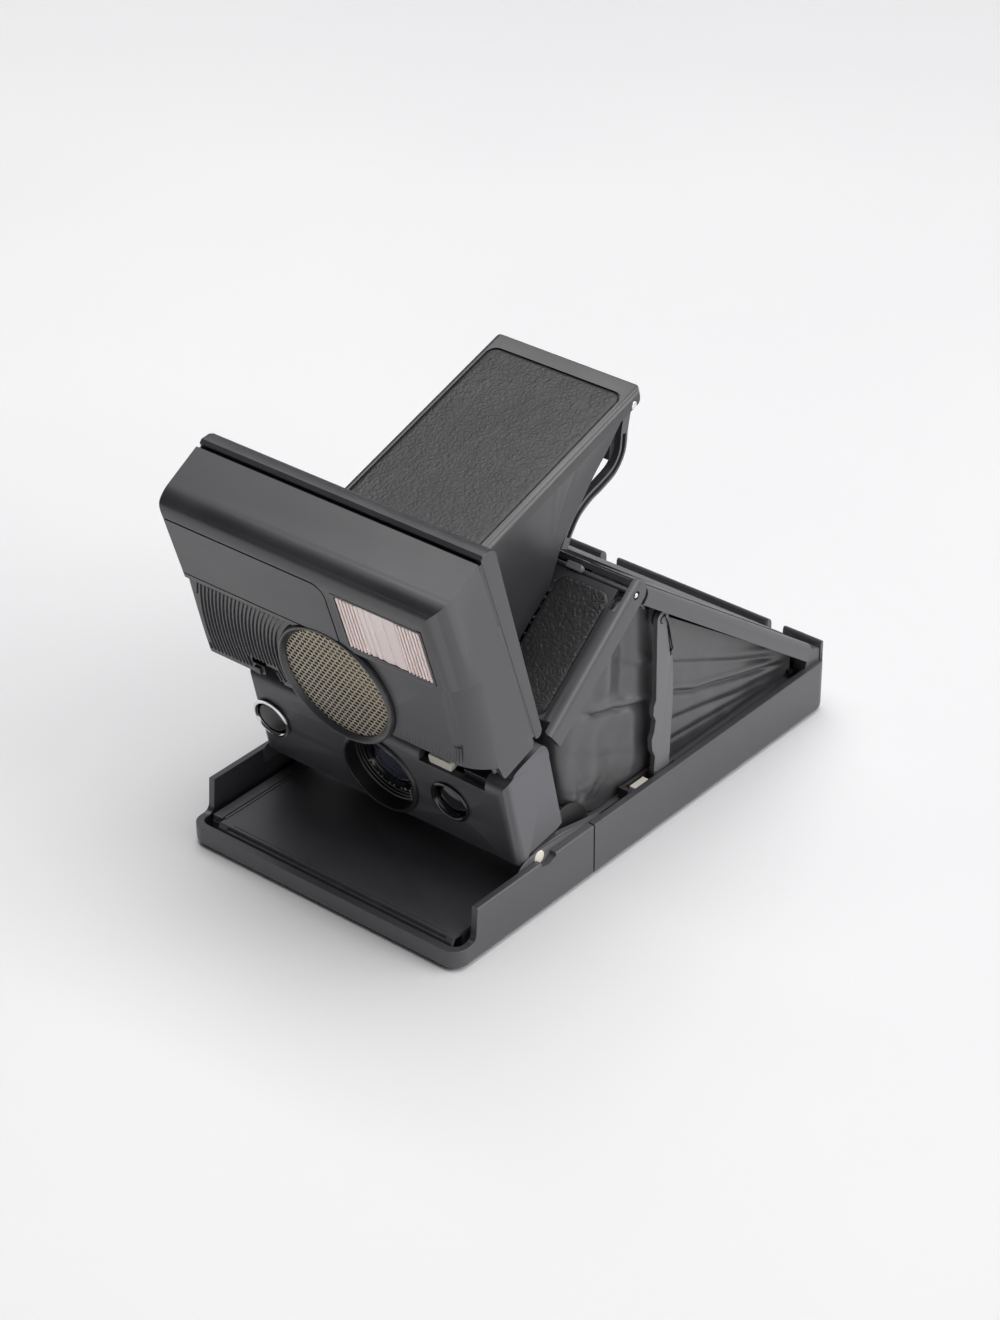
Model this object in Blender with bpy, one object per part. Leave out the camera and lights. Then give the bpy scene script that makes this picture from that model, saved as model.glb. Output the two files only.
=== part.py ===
"""Folding single-lens-reflex instant camera, opened and ready for use.

Frame: +Z up, lens side towards -Y, +X to the right as seen from the lens side.
The origin is the centre of the underside.  Shapes are laid out in millimetres
in a chassis frame whose y starts at the front edge of the film door and grows
towards the back; place() shifts that to the world frame in metres.
Every moving body hangs on an empty that lies on its joint.
"""
import math
import bpy
import bmesh
from mathutils import Vector

MM = 0.001
SIDES = (-1, 1)

# ----------------------------------------------------------------------------
# driving dimensions, millimetres and degrees
# ----------------------------------------------------------------------------
BODY_LEN = 176.5            # front edge of the door to the back of the base
BODY_HALF_W = 51.0
WALL_TOP = 17.7             # top of the side walls
WALL_T = 2.2
FLOOR_T = 1.6
PLAN_R = 5.0                # corner radius seen from above
DOOR_END = 60.7             # rear end of the film door
TRAY_START = 61.2           # front end of the main tray

# joints, (y, z)
REAR_HINGE = (170.0, 20.0)          # rear cover on the base
APEX = (79.2, 85.3)                 # front cover on the rear cover
SHUTTER_HINGE = (38.5, 18.0)        # shutter housing on the base
HEAD_HINGE = (45.2, 57.4)           # flash head on the shutter housing
ARM_HINGE = (80.2, 91.6)            # viewfinder arm on the front cover
CAP_HINGE = (108.4, 125.0)          # viewfinder cap on its arm
STRUT_HINGE = (95.0, 69.0)          # cover support on the rear cover
CARRIER_HINGE = (163.5, 16.6)       # mirror carrier on the base
DOOR_HINGE = (59.8, 1.2)            # film door on the base
UPPER_ROLLER = (54.0, 11.6)
LOWER_ROLLER = (54.0, 5.2)
MOTOR = (56.5, 19.5)
IDLER = (60.0, 14.0)

HINGE_ROD_R = 1.15
COVER_PIN_R = 1.1                   # apex and viewfinder cap pins
HINGE_BORE_R = 1.45
PIN_STEPS = 14

COVER_SLOPE = math.degrees(math.atan2(APEX[1] - REAR_HINGE[1], REAR_HINGE[0] - APEX[0]))
FRONT_SLOPE = 39.5
CAP_SLOPE = 17.6
HEAD_LEAN = 13.5
HEAD_FOOT = (10.7, 61.8)            # bottom of the head's front face (y, z)
HEAD_HALF_W = 50.4
SHUTTER_LEAN = 12.56
SHUTTER_FOOT = (29.6, 21.9)         # bottom of the housing's front face (y, z)
SHUTTER_HALF_W = 48.4
SHELL_T = 2.0                       # side walls of the housing and the head

# features on the housing's front face, (x, height up the face)
LENS = (0.0, 9.8)
EYE = (26.5, 11.9)
BUTTON = (-41.2, 11.9)
# features on the head's front face
SONAR = (2.5, 11.0)                 # (x, height up the face)
SONAR_R = 20.4
FLASH_X = (12.2, 42.8)
FLASH_UP = (29.6, 49.4)
TUBE_UP = 38.6                      # height of the flash tube up the face

DIAL_X, DIAL_Z = -22.0, 11.0
WHEEL = (-29.0, 30.4, 51.2)         # focus wheel centre (x, y, z)
TRIPOD = (0, 96)                    # tripod bush centre (x, y)
GEAR_X = (41.0, 43.4)


# ----------------------------------------------------------------------------
# frames
# ----------------------------------------------------------------------------
def place(x, y, z):
    """World point in metres for a chassis point in millimetres."""
    return Vector((x * MM, (y - BODY_LEN / 2) * MM, z * MM))


class SideFrame:
    """Leaning frame in the side view: one axis along a surface, one out of it."""

    def __init__(self, origin, angle_deg, flip):
        angle = math.radians(angle_deg)
        self.origin = origin
        self.along = (math.cos(angle), math.sin(angle))
        self.out = (-flip * math.sin(angle), flip * math.cos(angle))

    def pt(self, along, out=0.0):
        """Side-view (y, z) of a point in this frame."""
        return (self.origin[0] + along * self.along[0] + out * self.out[0],
                self.origin[1] + along * self.along[1] + out * self.out[1])

    def poly(self, points):
        return [self.pt(along, out) for along, out in points]

    def at(self, x, along, out=0.0):
        """Chassis (x, y, z) of a point in this frame."""
        return (x, *self.pt(along, out))


REAR = SideFrame(REAR_HINGE, 180 - COVER_SLOPE, -1)     # from the hinge to the apex
FRONT = SideFrame(APEX, 180 + FRONT_SLOPE, -1)          # from the apex down
CAP = SideFrame(CAP_HINGE, 180 + CAP_SLOPE, -1)         # from the pin forwards
HEAD = SideFrame(HEAD_FOOT, 90 + HEAD_LEAN, 1)          # up the front face
SHUT = SideFrame(SHUTTER_FOOT, 90 + SHUTTER_LEAN, 1)    # up the front face

# ----------------------------------------------------------------------------
# materials
# ----------------------------------------------------------------------------
CHARCOAL = dict(rgb=(0.035, 0.035, 0.038), rough=0.5)
BLACK = dict(rgb=(0.012, 0.012, 0.014), rough=0.55)
STEEL = dict(rgb=(0.55, 0.55, 0.55), rough=0.3, metal=1.0)
CREAM = dict(rgb=(0.8, 0.76, 0.62), rough=0.4)

LOOKS = {
    "base_plastic": CHARCOAL,
    "housing_plastic": CHARCOAL,
    "head_plastic": CHARCOAL,
    "film_pack_plastic": BLACK,
    "door_plate_black": BLACK,
    "carrier_black": BLACK,
    "arm_black": BLACK,
    "plate_black": BLACK,
    "bezel_black": BLACK,
    "button_black": BLACK,
    "barrel_black": BLACK,
    "wheel_black": BLACK,
    "switch_black": BLACK,
    "motor_can": STEEL,
    "bush_metal": STEEL,
    "pin_steel": STEEL,
    "bracket_steel": STEEL,
    "roller_steel": STEEL,
    "pick_steel": STEEL,
    "rivet_cream": CREAM,
    "latch_cream": CREAM,
    "slider_cream": CREAM,
    "leather_black": dict(rgb=(0.012, 0.012, 0.013), rough=0.6),
    "lens_glass": dict(rgb=(0.8, 0.85, 0.9), rough=0.05, trans=0.9),
    "tube_glass": dict(rgb=(0.8, 0.85, 0.9), rough=0.05, trans=0.9),
    "chassis_metal": dict(rgb=(0.03, 0.03, 0.032), rough=0.4, metal=0.3),
    "film_paper": dict(rgb=(0.6, 0.62, 0.6), rough=0.5),
    "gear_brass": dict(rgb=(0.7, 0.5, 0.2), rough=0.35, metal=1.0),
    "gear_nylon": dict(rgb=(0.75, 0.73, 0.66), rough=0.5),
    "dial_white": dict(rgb=(0.75, 0.74, 0.7), rough=0.5),
    "mirror_silver": dict(rgb=(0.85, 0.87, 0.88), rough=0.02, metal=1.0),
    "fresnel_plastic": dict(rgb=(0.7, 0.72, 0.74), rough=0.15, trans=0.3),
    "cover_plastic": dict(rgb=(0.07, 0.07, 0.072), rough=0.42),
    "cover_panel": dict(rgb=(0.06, 0.06, 0.062), rough=0.5),
    "shield_plastic": dict(rgb=(0.05, 0.05, 0.052), rough=0.45),
    "cap_plastic": dict(rgb=(0.03, 0.03, 0.033), rough=0.4),
    "support_plastic": dict(rgb=(0.12, 0.12, 0.125), rough=0.5),
    "bellows_rubber": dict(rgb=(0.06, 0.06, 0.063), rough=0.55),
    "ring_chrome": dict(rgb=(0.8, 0.8, 0.8), rough=0.1, metal=1.0),
    "blade_black": dict(rgb=(0.02, 0.02, 0.02), rough=0.35),
    "ring_black": dict(rgb=(0.03, 0.03, 0.032), rough=0.4),
    "grille_gold": dict(rgb=(0.45, 0.36, 0.2), rough=0.4, metal=0.8),
    "flash_fresnel": dict(rgb=(0.75, 0.6, 0.58), rough=0.15, trans=0.5),
    "reflector_silver": dict(rgb=(0.8, 0.8, 0.8), rough=0.15, metal=1.0),
    "capacitor_sleeve": dict(rgb=(0.02, 0.02, 0.05), rough=0.35),
}


def make_material(name, rgb, rough, metal=0.0, trans=0.0):
    mat = bpy.data.materials.new(name)
    mat.use_nodes = True
    inputs = mat.node_tree.nodes["Principled BSDF"].inputs
    inputs["Base Color"].default_value = (*rgb, 1)
    inputs["Roughness"].default_value = rough
    inputs["Metallic"].default_value = metal
    inputs["Transmission Weight"].default_value = trans
    return mat


def material(name):
    return bpy.data.materials.get(name) or make_material(name, **LOOKS[name])


# ----------------------------------------------------------------------------
# spans and outlines
# ----------------------------------------------------------------------------
def wide(half):
    """Span centred on zero."""
    return (-half, half)


def span(side, inner, outer):
    """Ascending x span between two distances from the centre, on one side."""
    return tuple(sorted((side * inner, side * outer)))


def oval(cx, cy, rx, ry, n):
    return [(cx + rx * math.cos(2 * math.pi * i / n),
             cy + ry * math.sin(2 * math.pi * i / n)) for i in range(n)]


def circle(cx, cy, r, n):
    return oval(cx, cy, r, r, n)


def quarter(cx, cy, r, start, n=5):
    """Quarter arc from the start angle in degrees."""
    angles = [math.radians(start + 90 * i / n) for i in range(n + 1)]
    return [(cx + r * math.cos(t), cy + r * math.sin(t)) for t in angles]


def rounded(x_span, y_span, r, n):
    """Rectangle with rounded corners."""
    (x0, x1), (y0, y1) = x_span, y_span
    return (quarter(x1 - r, y0 + r, r, -90, n) + quarter(x1 - r, y1 - r, r, 0, n)
            + quarter(x0 + r, y1 - r, r, 90, n) + quarter(x0 + r, y0 + r, r, 180, n))


def tray_plan(half, y0, y1, r):
    """Plan outline, square in front and rounded at the back."""
    return [(half, y0), *quarter(half - r, y1 - r, r, 0),
            *quarter(-half + r, y1 - r, r, 90), (-half, y0)]


def door_plan(half, y0, y1, r):
    """Plan outline, rounded in front and square at the back."""
    return [*quarter(half - r, y0 + r, r, -90), (half, y1), (-half, y1),
            *quarter(-half + r, y0 + r, r, 180)]


def toothed(cx, cy, teeth, tooth):
    """Toothed outline; tooth rows are (fraction of the tooth pitch, radius)."""
    pitch = 2 * math.pi / teeth
    points = []
    for i in range(teeth):
        centre = 2 * math.pi * i / teeth
        for fraction, r in tooth:
            angle = centre + fraction * pitch
            points.append((cx + r * math.cos(angle), cy + r * math.sin(angle)))
    return points


def ribbon(path, half):
    """Polygon of constant width along a side-view polyline."""
    left, right = [], []
    for i, p in enumerate(path):
        before = path[max(i - 1, 0)]
        after = path[min(i + 1, len(path) - 1)]
        dx, dy = after[0] - before[0], after[1] - before[1]
        length = math.hypot(dx, dy)
        nx, ny = -dy / length * half, dx / length * half
        left.append((p[0] + nx, p[1] + ny))
        right.append((p[0] - nx, p[1] - ny))
    return left + right[::-1]


# ----------------------------------------------------------------------------
# solids; every helper returns an object whose mesh is in world metres
# ----------------------------------------------------------------------------
def from_bmesh(bm):
    bmesh.ops.recalc_face_normals(bm, faces=bm.faces)
    mesh = bpy.data.meshes.new("tmp")
    bm.to_mesh(mesh)
    bm.free()
    ob = bpy.data.objects.new("tmp", mesh)
    bpy.context.scene.collection.objects.link(ob)
    return ob


def loft(bottom, top):
    """Closed solid between two rings of equal point count."""
    bm = bmesh.new()
    low = [bm.verts.new(p) for p in bottom]
    high = [bm.verts.new(p) for p in top]
    n = len(low)
    for i in range(n):
        j = (i + 1) % n
        bm.faces.new((low[i], low[j], high[j], high[i]))
    bm.faces.new(low[::-1])
    bm.faces.new(high)
    return from_bmesh(bm)


def side_prism(outline, x):
    """Side-view (y, z) outline extruded over an x span."""
    return loft(*[[place(end, y, z) for y, z in outline] for end in x])


def plan_prism(outline, z):
    """Plan (x, y) outline extruded over a z span."""
    return loft(*[[place(px, py, end) for px, py in outline] for end in z])


def front_prism(outline, y):
    """Front-view (x, z) outline extruded over a y span."""
    return loft(*[[place(px, end, pz) for px, pz in outline] for end in y])


def face_prism(frame, outline, out):
    """Outline of (x, along) on a leaning face, extruded over an outward span."""
    return loft(*[[place(*frame.at(x, along, end)) for x, along in outline] for end in out])


def rectangle(first, second):
    return [(first[0], second[0]), (first[1], second[0]),
            (first[1], second[1]), (first[0], second[1])]


def box(x, y, z):
    return plan_prism(rectangle(x, y), z)


def face_box(frame, x, along, out):
    return face_prism(frame, rectangle(x, along), out)


def rod(centre, x, r, n=16):
    """Cylinder along x, centred on (y, z)."""
    return side_prism(circle(*centre, r, n), x)


def face_turn(frame, centre, profile, n):
    """Turned solid about a face normal; profile rows are (radius, out).

    A profile that starts off the axis closes on itself into a ring.
    """
    bm = bmesh.new()
    rows = []
    for r, out in profile:
        points = circle(*centre, r, n) if r > 0 else [centre]
        rows.append([bm.verts.new(place(*frame.at(*p, out))) for p in points])
    pairs = list(zip(rows, rows[1:]))
    if profile[0][0] > 0:
        pairs.append((rows[-1], rows[0]))
    for a, b in pairs:
        for i in range(n):
            j = (i + 1) % n
            if len(a) == 1:
                bm.faces.new((a[0], b[i], b[j]))
            elif len(b) == 1:
                bm.faces.new((a[i], b[0], a[j]))
            else:
                bm.faces.new((a[i], b[i], b[j], a[j]))
    return from_bmesh(bm)


def bake(ob):
    """Turn the evaluated object into its own plain mesh."""
    bpy.context.view_layer.update()
    depsgraph = bpy.context.evaluated_depsgraph_get()
    mesh = bpy.data.meshes.new_from_object(ob.evaluated_get(depsgraph))
    ob.modifiers.clear()
    ob.data = mesh
    return ob


def boolean(ob, tools, operation):
    for tool in tools:
        mod = ob.modifiers.new("boolean", "BOOLEAN")
        mod.operation = operation
        mod.solver = "EXACT"
        mod.object = tool
        bake(ob)
        bpy.data.objects.remove(tool, do_unlink=True)
    return ob


def cut(ob, *tools):
    return boolean(ob, tools, "DIFFERENCE")


def join(ob, *tools):
    return boolean(ob, tools, "UNION")


def keep(ob, *tools):
    return boolean(ob, tools, "INTERSECT")


def bevelled(ob, width, segments):
    mod = ob.modifiers.new("bevel", "BEVEL")
    mod.width = width * MM
    mod.segments = segments
    mod.limit_method = "ANGLE"
    mod.angle_limit = math.radians(50)
    return bake(ob)


# ----------------------------------------------------------------------------
# bodies
# ----------------------------------------------------------------------------
# body, parent body, joint (x, y, z)
BODIES = [
    ("base", None, (0, BODY_LEN / 2, 0)),
    ("rear_cover", "base", (0, *REAR_HINGE)),
    ("front_cover", "rear_cover", (0, *APEX)),
    ("viewfinder_arm", "front_cover", (0, *ARM_HINGE)),
    ("viewfinder_cap", "viewfinder_arm", (0, *CAP_HINGE)),
    ("cover_support", "rear_cover", (0, *STRUT_HINGE)),
    ("shutter", "base", (0, *SHUTTER_HINGE)),
    ("flash_head", "shutter", (0, *HEAD_HINGE)),
    ("film_door", "base", (0, *DOOR_HINGE)),
    ("upper_roller", "film_door", (0, *UPPER_ROLLER)),
    ("lower_roller", "film_door", (0, *LOWER_ROLLER)),
    ("drive_pinion", "base", (0, *MOTOR)),
    ("transfer_gear", "base", (0, *IDLER)),
    ("pick_arm", "base", (0, 120, 6)),
    ("counter_dial", "base", (DIAL_X, 170.5, DIAL_Z)),
    ("door_latch", "base", (47.6, 86, 15)),
    ("mirror_carrier", "base", (0, *CARRIER_HINGE)),
    ("shutter_button", "shutter", SHUT.at(*BUTTON)),
    ("exposure_slider", "shutter", SHUT.at(24.5, 26)),
    ("lens_barrel", "shutter", SHUT.at(*LENS)),
    ("focus_wheel", "shutter", WHEEL),
    ("shutter_blade_left", "shutter", SHUT.at(*LENS, -12.5)),
    ("shutter_blade_right", "shutter", SHUT.at(*LENS, -13.8)),
    ("focus_switch", "flash_head", HEAD.at(-27.0, 2.4)),
]
PIVOTS = {}                 # body name: (empty, world position)


def make_body(name, parent, joint):
    empty = bpy.data.objects.new("pivot_" + name, None)
    bpy.context.scene.collection.objects.link(empty)
    position = place(*joint)
    empty.location = position
    if parent:
        parent_empty, parent_position = PIVOTS[parent]
        empty.parent = parent_empty
        empty.location = position - parent_position
    PIVOTS[name] = (empty, position)


def finish(name, body, material_name, ob):
    """Name a solid, give it a material and hang it on its body."""
    empty, position = PIVOTS[body]
    for vertex in ob.data.vertices:
        vertex.co -= position
    ob.name = name
    ob.data.name = name
    ob.parent = empty
    ob.location = (0, 0, 0)
    ob.data.materials.clear()
    ob.data.materials.append(material(material_name))
    ob.data.shade_smooth()
    ob.data.set_sharp_from_angle(angle=math.radians(35))


# ----------------------------------------------------------------------------
# base
# ----------------------------------------------------------------------------
LUG_TOP = 24.0
LUG_FRONT = 173.4


def tray_lugs():
    """Lugs that rise from the back wall, with two gaps between them."""
    lugs = keep(plan_prism(tray_plan(BODY_HALF_W, 160.0, BODY_LEN, PLAN_R),
                           (WALL_TOP - 4.0, LUG_TOP)),
                box(wide(60), (LUG_FRONT, 180), (0, 40)))
    lugs = cut(lugs, *[box(span(side, 29.2, 35.6), (165, 180), (WALL_TOP, 30))
                       for side in SIDES])
    # (y, z) of the waste that rounds the lugs off towards the back
    waste = [(BODY_LEN + 1, LUG_TOP + 1), (BODY_LEN - 2.4, LUG_TOP + 1),
             (BODY_LEN - 2.4, LUG_TOP), (BODY_LEN - 0.9, LUG_TOP - 0.8),
             (BODY_LEN, LUG_TOP - 2.4), (BODY_LEN + 1, LUG_TOP - 2.4)]
    return cut(lugs, side_prism(waste, wide(60)))


def base_tray():
    tray = plan_prism(tray_plan(BODY_HALF_W, TRAY_START, BODY_LEN, PLAN_R), (0, WALL_TOP))
    hollow = tray_plan(BODY_HALF_W - WALL_T, TRAY_START - 5, BODY_LEN - 2.5, PLAN_R - WALL_T)
    tray = cut(tray, plan_prism(hollow, (FLOOR_T, WALL_TOP + 5)))
    tray = join(tray, tray_lugs())
    # (y, z) of the ears that carry the rear cover and the mirror carrier
    ear = [(165.5, 1.0), (173.0, 1.0), (173.0, 22.4), (171.0, 23.2),
           (169.0, 23.2), (167.4, 21.6), (165.5, 17.0)]
    for side in SIDES:
        tray = join(tray, side_prism(ear, span(side, 45.3, 49.5)))
        tray = cut(tray, rod(REAR_HINGE, span(side, 44, 48.9), 1.5),
                   rod(CARRIER_HINGE, span(side, 44, 47), 1.1))
    tray = cut(tray, plan_prism(circle(*TRIPOD, 6.0, 24), (-2, 4)))
    # counter window through the back wall
    tray = cut(tray, front_prism(oval(DIAL_X, 13.6, 3.0, 2.2, 20), (171.6, 180)))
    return bevelled(tray, 0.5, 1)


def chassis_frame():
    """Rails over the film pack, cross bars and the forward arms."""
    frame = box(wide(46), (64.8, 162), (13.0, 15.0))
    frame = cut(frame, box(wide(43.5), (68.0, 158.5), (10, 18)))
    # (y, z)
    arm = [(35.5, 17.2), (36.6, 19.4), (38.6, 20.6), (50.5, 20.1), (56.0, 18.8),
           (67.5, 16.6), (67.5, 12.4), (40.0, 12.4), (36.5, 14.6)]
    for side in SIDES:
        frame = join(frame, side_prism(arm, span(side, 46.6, 48.4)),
                     box(span(side, 45.0, 48.0), (64.8, 67.5), (13.0, 15.0)))
        frame = cut(frame, rod(SHUTTER_HINGE, span(side, 45.9, 48.9), 1.5))
    return frame


def film_pack():
    """Hollow box, open over the film and slotted at the front."""
    pack = box(wide(44.6), (66.0, 167.5), (1.95, 12.6))
    return cut(pack, box(wide(43.2), (67.4, 166.1), (3.2, 11.4)),
               box(wide(40.5), (72.0, 152.0), (10, 14)),
               box(wide(42.5), (60, 70), (9.0, 10.6)))


def film_stack():
    return box(wide(42.8), (68.2, 165.4), (3.6, 10.9))


def drive_motor():
    return join(rod(MOTOR, (8.0, 39.6), 4.7, 24), rod(MOTOR, (39.0, 40.6), 2.0, 12))


def tripod_bush():
    return cut(plan_prism(circle(*TRIPOD, 5.7, 24), (0.05, 1.75)),
               plan_prism(circle(*TRIPOD, 3.1, 24), (-1, 3)))


def hinge_rod(hinge, half, r=HINGE_ROD_R):
    return rod(hinge, wide(half), r, PIN_STEPS)


def shutter_hinge_rod():
    """Rod with a rivet head at each end."""
    return join(hinge_rod(SHUTTER_HINGE, 49.2),
                *[rod(SHUTTER_HINGE, span(side, 48.75, 49.9), 2.3, 18) for side in SIDES])


# ----------------------------------------------------------------------------
# film door
# ----------------------------------------------------------------------------
def film_door_shell():
    door = plan_prism(door_plan(BODY_HALF_W, 0.0, DOOR_END, PLAN_R), (0, WALL_TOP))
    hollow = door_plan(BODY_HALF_W - WALL_T, 2.6, DOOR_END + 5, PLAN_R - WALL_T)
    door = cut(door, plan_prism(hollow, (FLOOR_T, WALL_TOP + 5)))
    # (y, z) of the waste over the front lip: a concave fall from the full walls
    fall = [(-3, 25), (-3, 7.0), (3.2, 7.0), (6.0, 7.7), (8.0, 9.2),
            (9.0, 11.4), (9.3, 14.0), (9.3, 25)]
    # (y, z) of the waste under the rear edge
    relief = [(59.8, -1.0), (62.0, -1.0), (62.0, 1.2), (60.7, 1.2), (59.8, 0.0)]
    door = cut(door, side_prism(fall, wide(60)), side_prism(relief, wide(60)))
    door = cut(door, *[rod(SHUTTER_HINGE, span(side, 47.0, 53.0), 3.0, 24)
                       for side in SIDES])
    return bevelled(door, 0.5, 1)


def door_plate():
    plate = box(wide(46.4), (6.6, 49.6), (7.4, 8.2))
    # inner x, y span, z span: legs below the plate, then ribs on top
    edges = [(42.6, (8.0, 48.0), (1.9, 7.9)),
             (42.9, (9.0, 48.0), (8.0, 8.5))]
    for inner, y, z in edges:
        plate = join(plate, *[box(span(side, inner, 46.4), y, z) for side in SIDES])
    return plate


def roller_bracket():
    """Two cheeks that hold the roller axles, tied by a low strip."""
    bracket = box(wide(45.0), (57.3, 58.2), (1.9, 3.6))
    # (y, z)
    cheek = [(50.2, 1.9), (58.2, 1.9), (58.2, 13.4), (56.4, 15.4), (51.6, 15.4), (50.2, 13.4)]
    for side in SIDES:
        bracket = join(bracket, side_prism(cheek, span(side, 44.5, 46.1)))
        bracket = cut(bracket, rod(LOWER_ROLLER, span(side, 44, 47), 1.5),
                      rod(UPPER_ROLLER, span(side, 44, 47), 1.5))
    return bracket


def roller(centre):
    """Roller with a thinner axle through it."""
    return join(rod(centre, wide(40.4), 2.9, 24), rod(centre, wide(45.9), 1.15))


def gear(centre, teeth, pitch_r):
    """Spur gear with shallow teeth that stay just inside the pitch circle."""
    root, tip = pitch_r - 0.75, pitch_r - 0.08
    tooth = [(-0.30, root), (-0.16, tip), (0.16, tip), (0.30, root)]
    return side_prism(toothed(*centre, teeth, tooth), GEAR_X)


def roller_gear():
    return cut(gear(UPPER_ROLLER, 12, 2.30),
               rod(UPPER_ROLLER, (GEAR_X[0] - 1, GEAR_X[1] + 1), 1.25))


# ----------------------------------------------------------------------------
# small works of the base
# ----------------------------------------------------------------------------
def pick_arm():
    """Long strip with a raised rear end."""
    # (y, z)
    outline = [(96, 4.0), (160, 4.0), (160, 10.5), (157.5, 10.5), (157.5, 6.4), (96, 6.4)]
    return side_prism(outline, (-47.9, -46.9))


def counter_dial():
    return front_prism(circle(DIAL_X, DIAL_Z, 6.2, 32), (169.6, 171.2))


def door_latch():
    """Upright slide with a thumb piece on top."""
    return join(box((47.3, 48.5), (81.0, 91.3), (11.0, 15.2)),
                box((46.3, 48.45), (83.0, 89.4), (14.8, 17.5)))


def mirror_carrier():
    """Open plate with two hinge tongues and stub axles at the back."""
    carrier = side_prism([(70, 16.0), (160, 16.0), (160, 17.4), (70, 17.4)], wide(41.0))
    carrier = cut(carrier, box(wide(37), (76, 150), (15, 16.7)))
    # (y, z)
    tongue = [(158, 15.6), (163.5, 14.9), (165.0, 15.8),
              (165.0, 17.4), (163.5, 18.3), (158, 17.6)]
    for side in SIDES:
        carrier = join(carrier, side_prism(tongue, span(side, 38.0, 41.0)),
                       rod(CARRIER_HINGE, span(side, 40.0, 46.2), 0.8, 12))
    return carrier


def taking_mirror():
    return box(wide(36.6), (76.5, 149.5), (15.5, 16.4))


def fresnel_screen():
    return box(wide(38.5), (73.0, 154.0), (17.7, 18.6))


# ----------------------------------------------------------------------------
# rear cover with its apex ears and the bracket for the support
# ----------------------------------------------------------------------------
# (x, along)
REAR_PLATE = [
    (-49.6, 6.4), (49.6, 6.4), (49.6, 105.2), (46.1, 105.2), (46.1, 106.6), (26.2, 106.6),
    (26.2, 103.4), (-26.2, 103.4), (-26.2, 106.6), (-46.1, 106.6), (-46.1, 105.2),
    (-49.6, 105.2)]
# (along, out)
REAR_FLANGE = [(5.0, -1.8), (108.6, -1.8), (109.6, 3.6), (6.0, 3.6), (5.0, 2.6)]
APEX_EAR = [
    (98.0, 2.9), (98.0, -1.2), (108.5, -3.2), (111.8, -3.5), (114.3, -2.4),
    (115.3, 0.0), (114.3, 2.4), (111.8, 3.4), (106.0, 3.4)]
REAR_TONGUE = [
    (-2.4, -1.2), (-2.4, 1.4), (-0.8, 2.7), (8.0, 3.1), (8.0, 1.7), (3.0, -1.6), (0.0, -2.7)]
STRUT_BRACKET = [
    (83.0, 2.0), (96.0, 2.0), (92.4, -4.8), (90.8, -6.4), (88.2, -6.4), (86.6, -4.8)]


def rear_cover():
    cover = face_prism(REAR, REAR_PLATE, (1.5, 3.55))
    recess = rounded(wide(45.8), (11.2, 102.8), 2.0, 3)
    cover = cut(cover, face_prism(REAR, recess, (3.0, 6.0)))
    # shallow well that takes the eyepiece when the camera is folded
    cover = join(cover, face_box(REAR, wide(27.4), (63.0, 101.0), (-2.9, 2.4)))
    cover = cut(cover, face_box(REAR, wide(26.2), (64.2, 99.8), (-1.9, 9.0)))
    for side in SIDES:
        flange = side_prism(REAR.poly(REAR_FLANGE), span(side, 49.0, 50.9))
        flange = cut(flange, rod(APEX, span(side, 48.0, 52.0), 5.0, 48))
        ear = side_prism(REAR.poly(APEX_EAR), span(side, 46.4, 48.5))
        ear = cut(ear, rod(APEX, span(side, 45.0, 49.0), HINGE_BORE_R))
        tongue = side_prism(REAR.poly(REAR_TONGUE), span(side, 39.0, 45.0))
        tongue = cut(tongue, rod(REAR_HINGE, span(side, 38.0, 46.0), HINGE_BORE_R))
        cover = join(cover, flange, ear, tongue)
    return join(cover, side_prism(REAR.poly(STRUT_BRACKET), (45.0, 46.1)),
                rod(STRUT_HINGE, (45.6, 48.4), 1.0, PIN_STEPS))


def rear_cover_panel():
    """Thin panel in the cover's recess, notched round the well."""
    panel = face_prism(REAR, rounded(wide(45.4), (11.6, 102.4), 1.8, 3), (3.3, 3.75))
    return cut(panel, face_box(REAR, wide(26.5), (63.9, 110.0), (2.0, 5.0)))


def fixed_mirror():
    return side_prism(REAR.poly(rectangle((16.0, 62.6), (-0.6, 1.1))), wide(38.0))


# ----------------------------------------------------------------------------
# front cover
# ----------------------------------------------------------------------------
# (x, along)
FRONT_PLATE = [
    (-46.0, 1.2), (46.0, 1.2), (46.0, 7.2), (49.4, 7.2), (49.4, 43.4), (27.0, 43.4),
    (27.0, 37.0), (-27.0, 37.0), (-27.0, 43.4), (-49.4, 43.4), (-49.4, 7.2), (-46.0, 7.2)]
# (along, out)
FRONT_FLANGE = [
    (-3.6, 2.4), (-1.6, 3.8), (44.6, 3.8), (46.4, 2.6), (47.0, -4.2),
    (4.0, -4.2), (0.0, -4.5), (-3.2, -3.2), (-4.5, 0.0)]
FRONT_RIM = [(7.5, 2.2), (43.1, 2.2), (43.1, 3.7), (7.5, 3.7)]
ARM_EAR = [
    (1.6, 2.0), (7.0, 2.0), (3.4, 4.2), (-2.6, 6.0), (-4.6, 6.6),
    (-6.6, 5.8), (-7.2, 4.0), (-6.4, 2.2), (-4.4, 1.8)]


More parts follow.
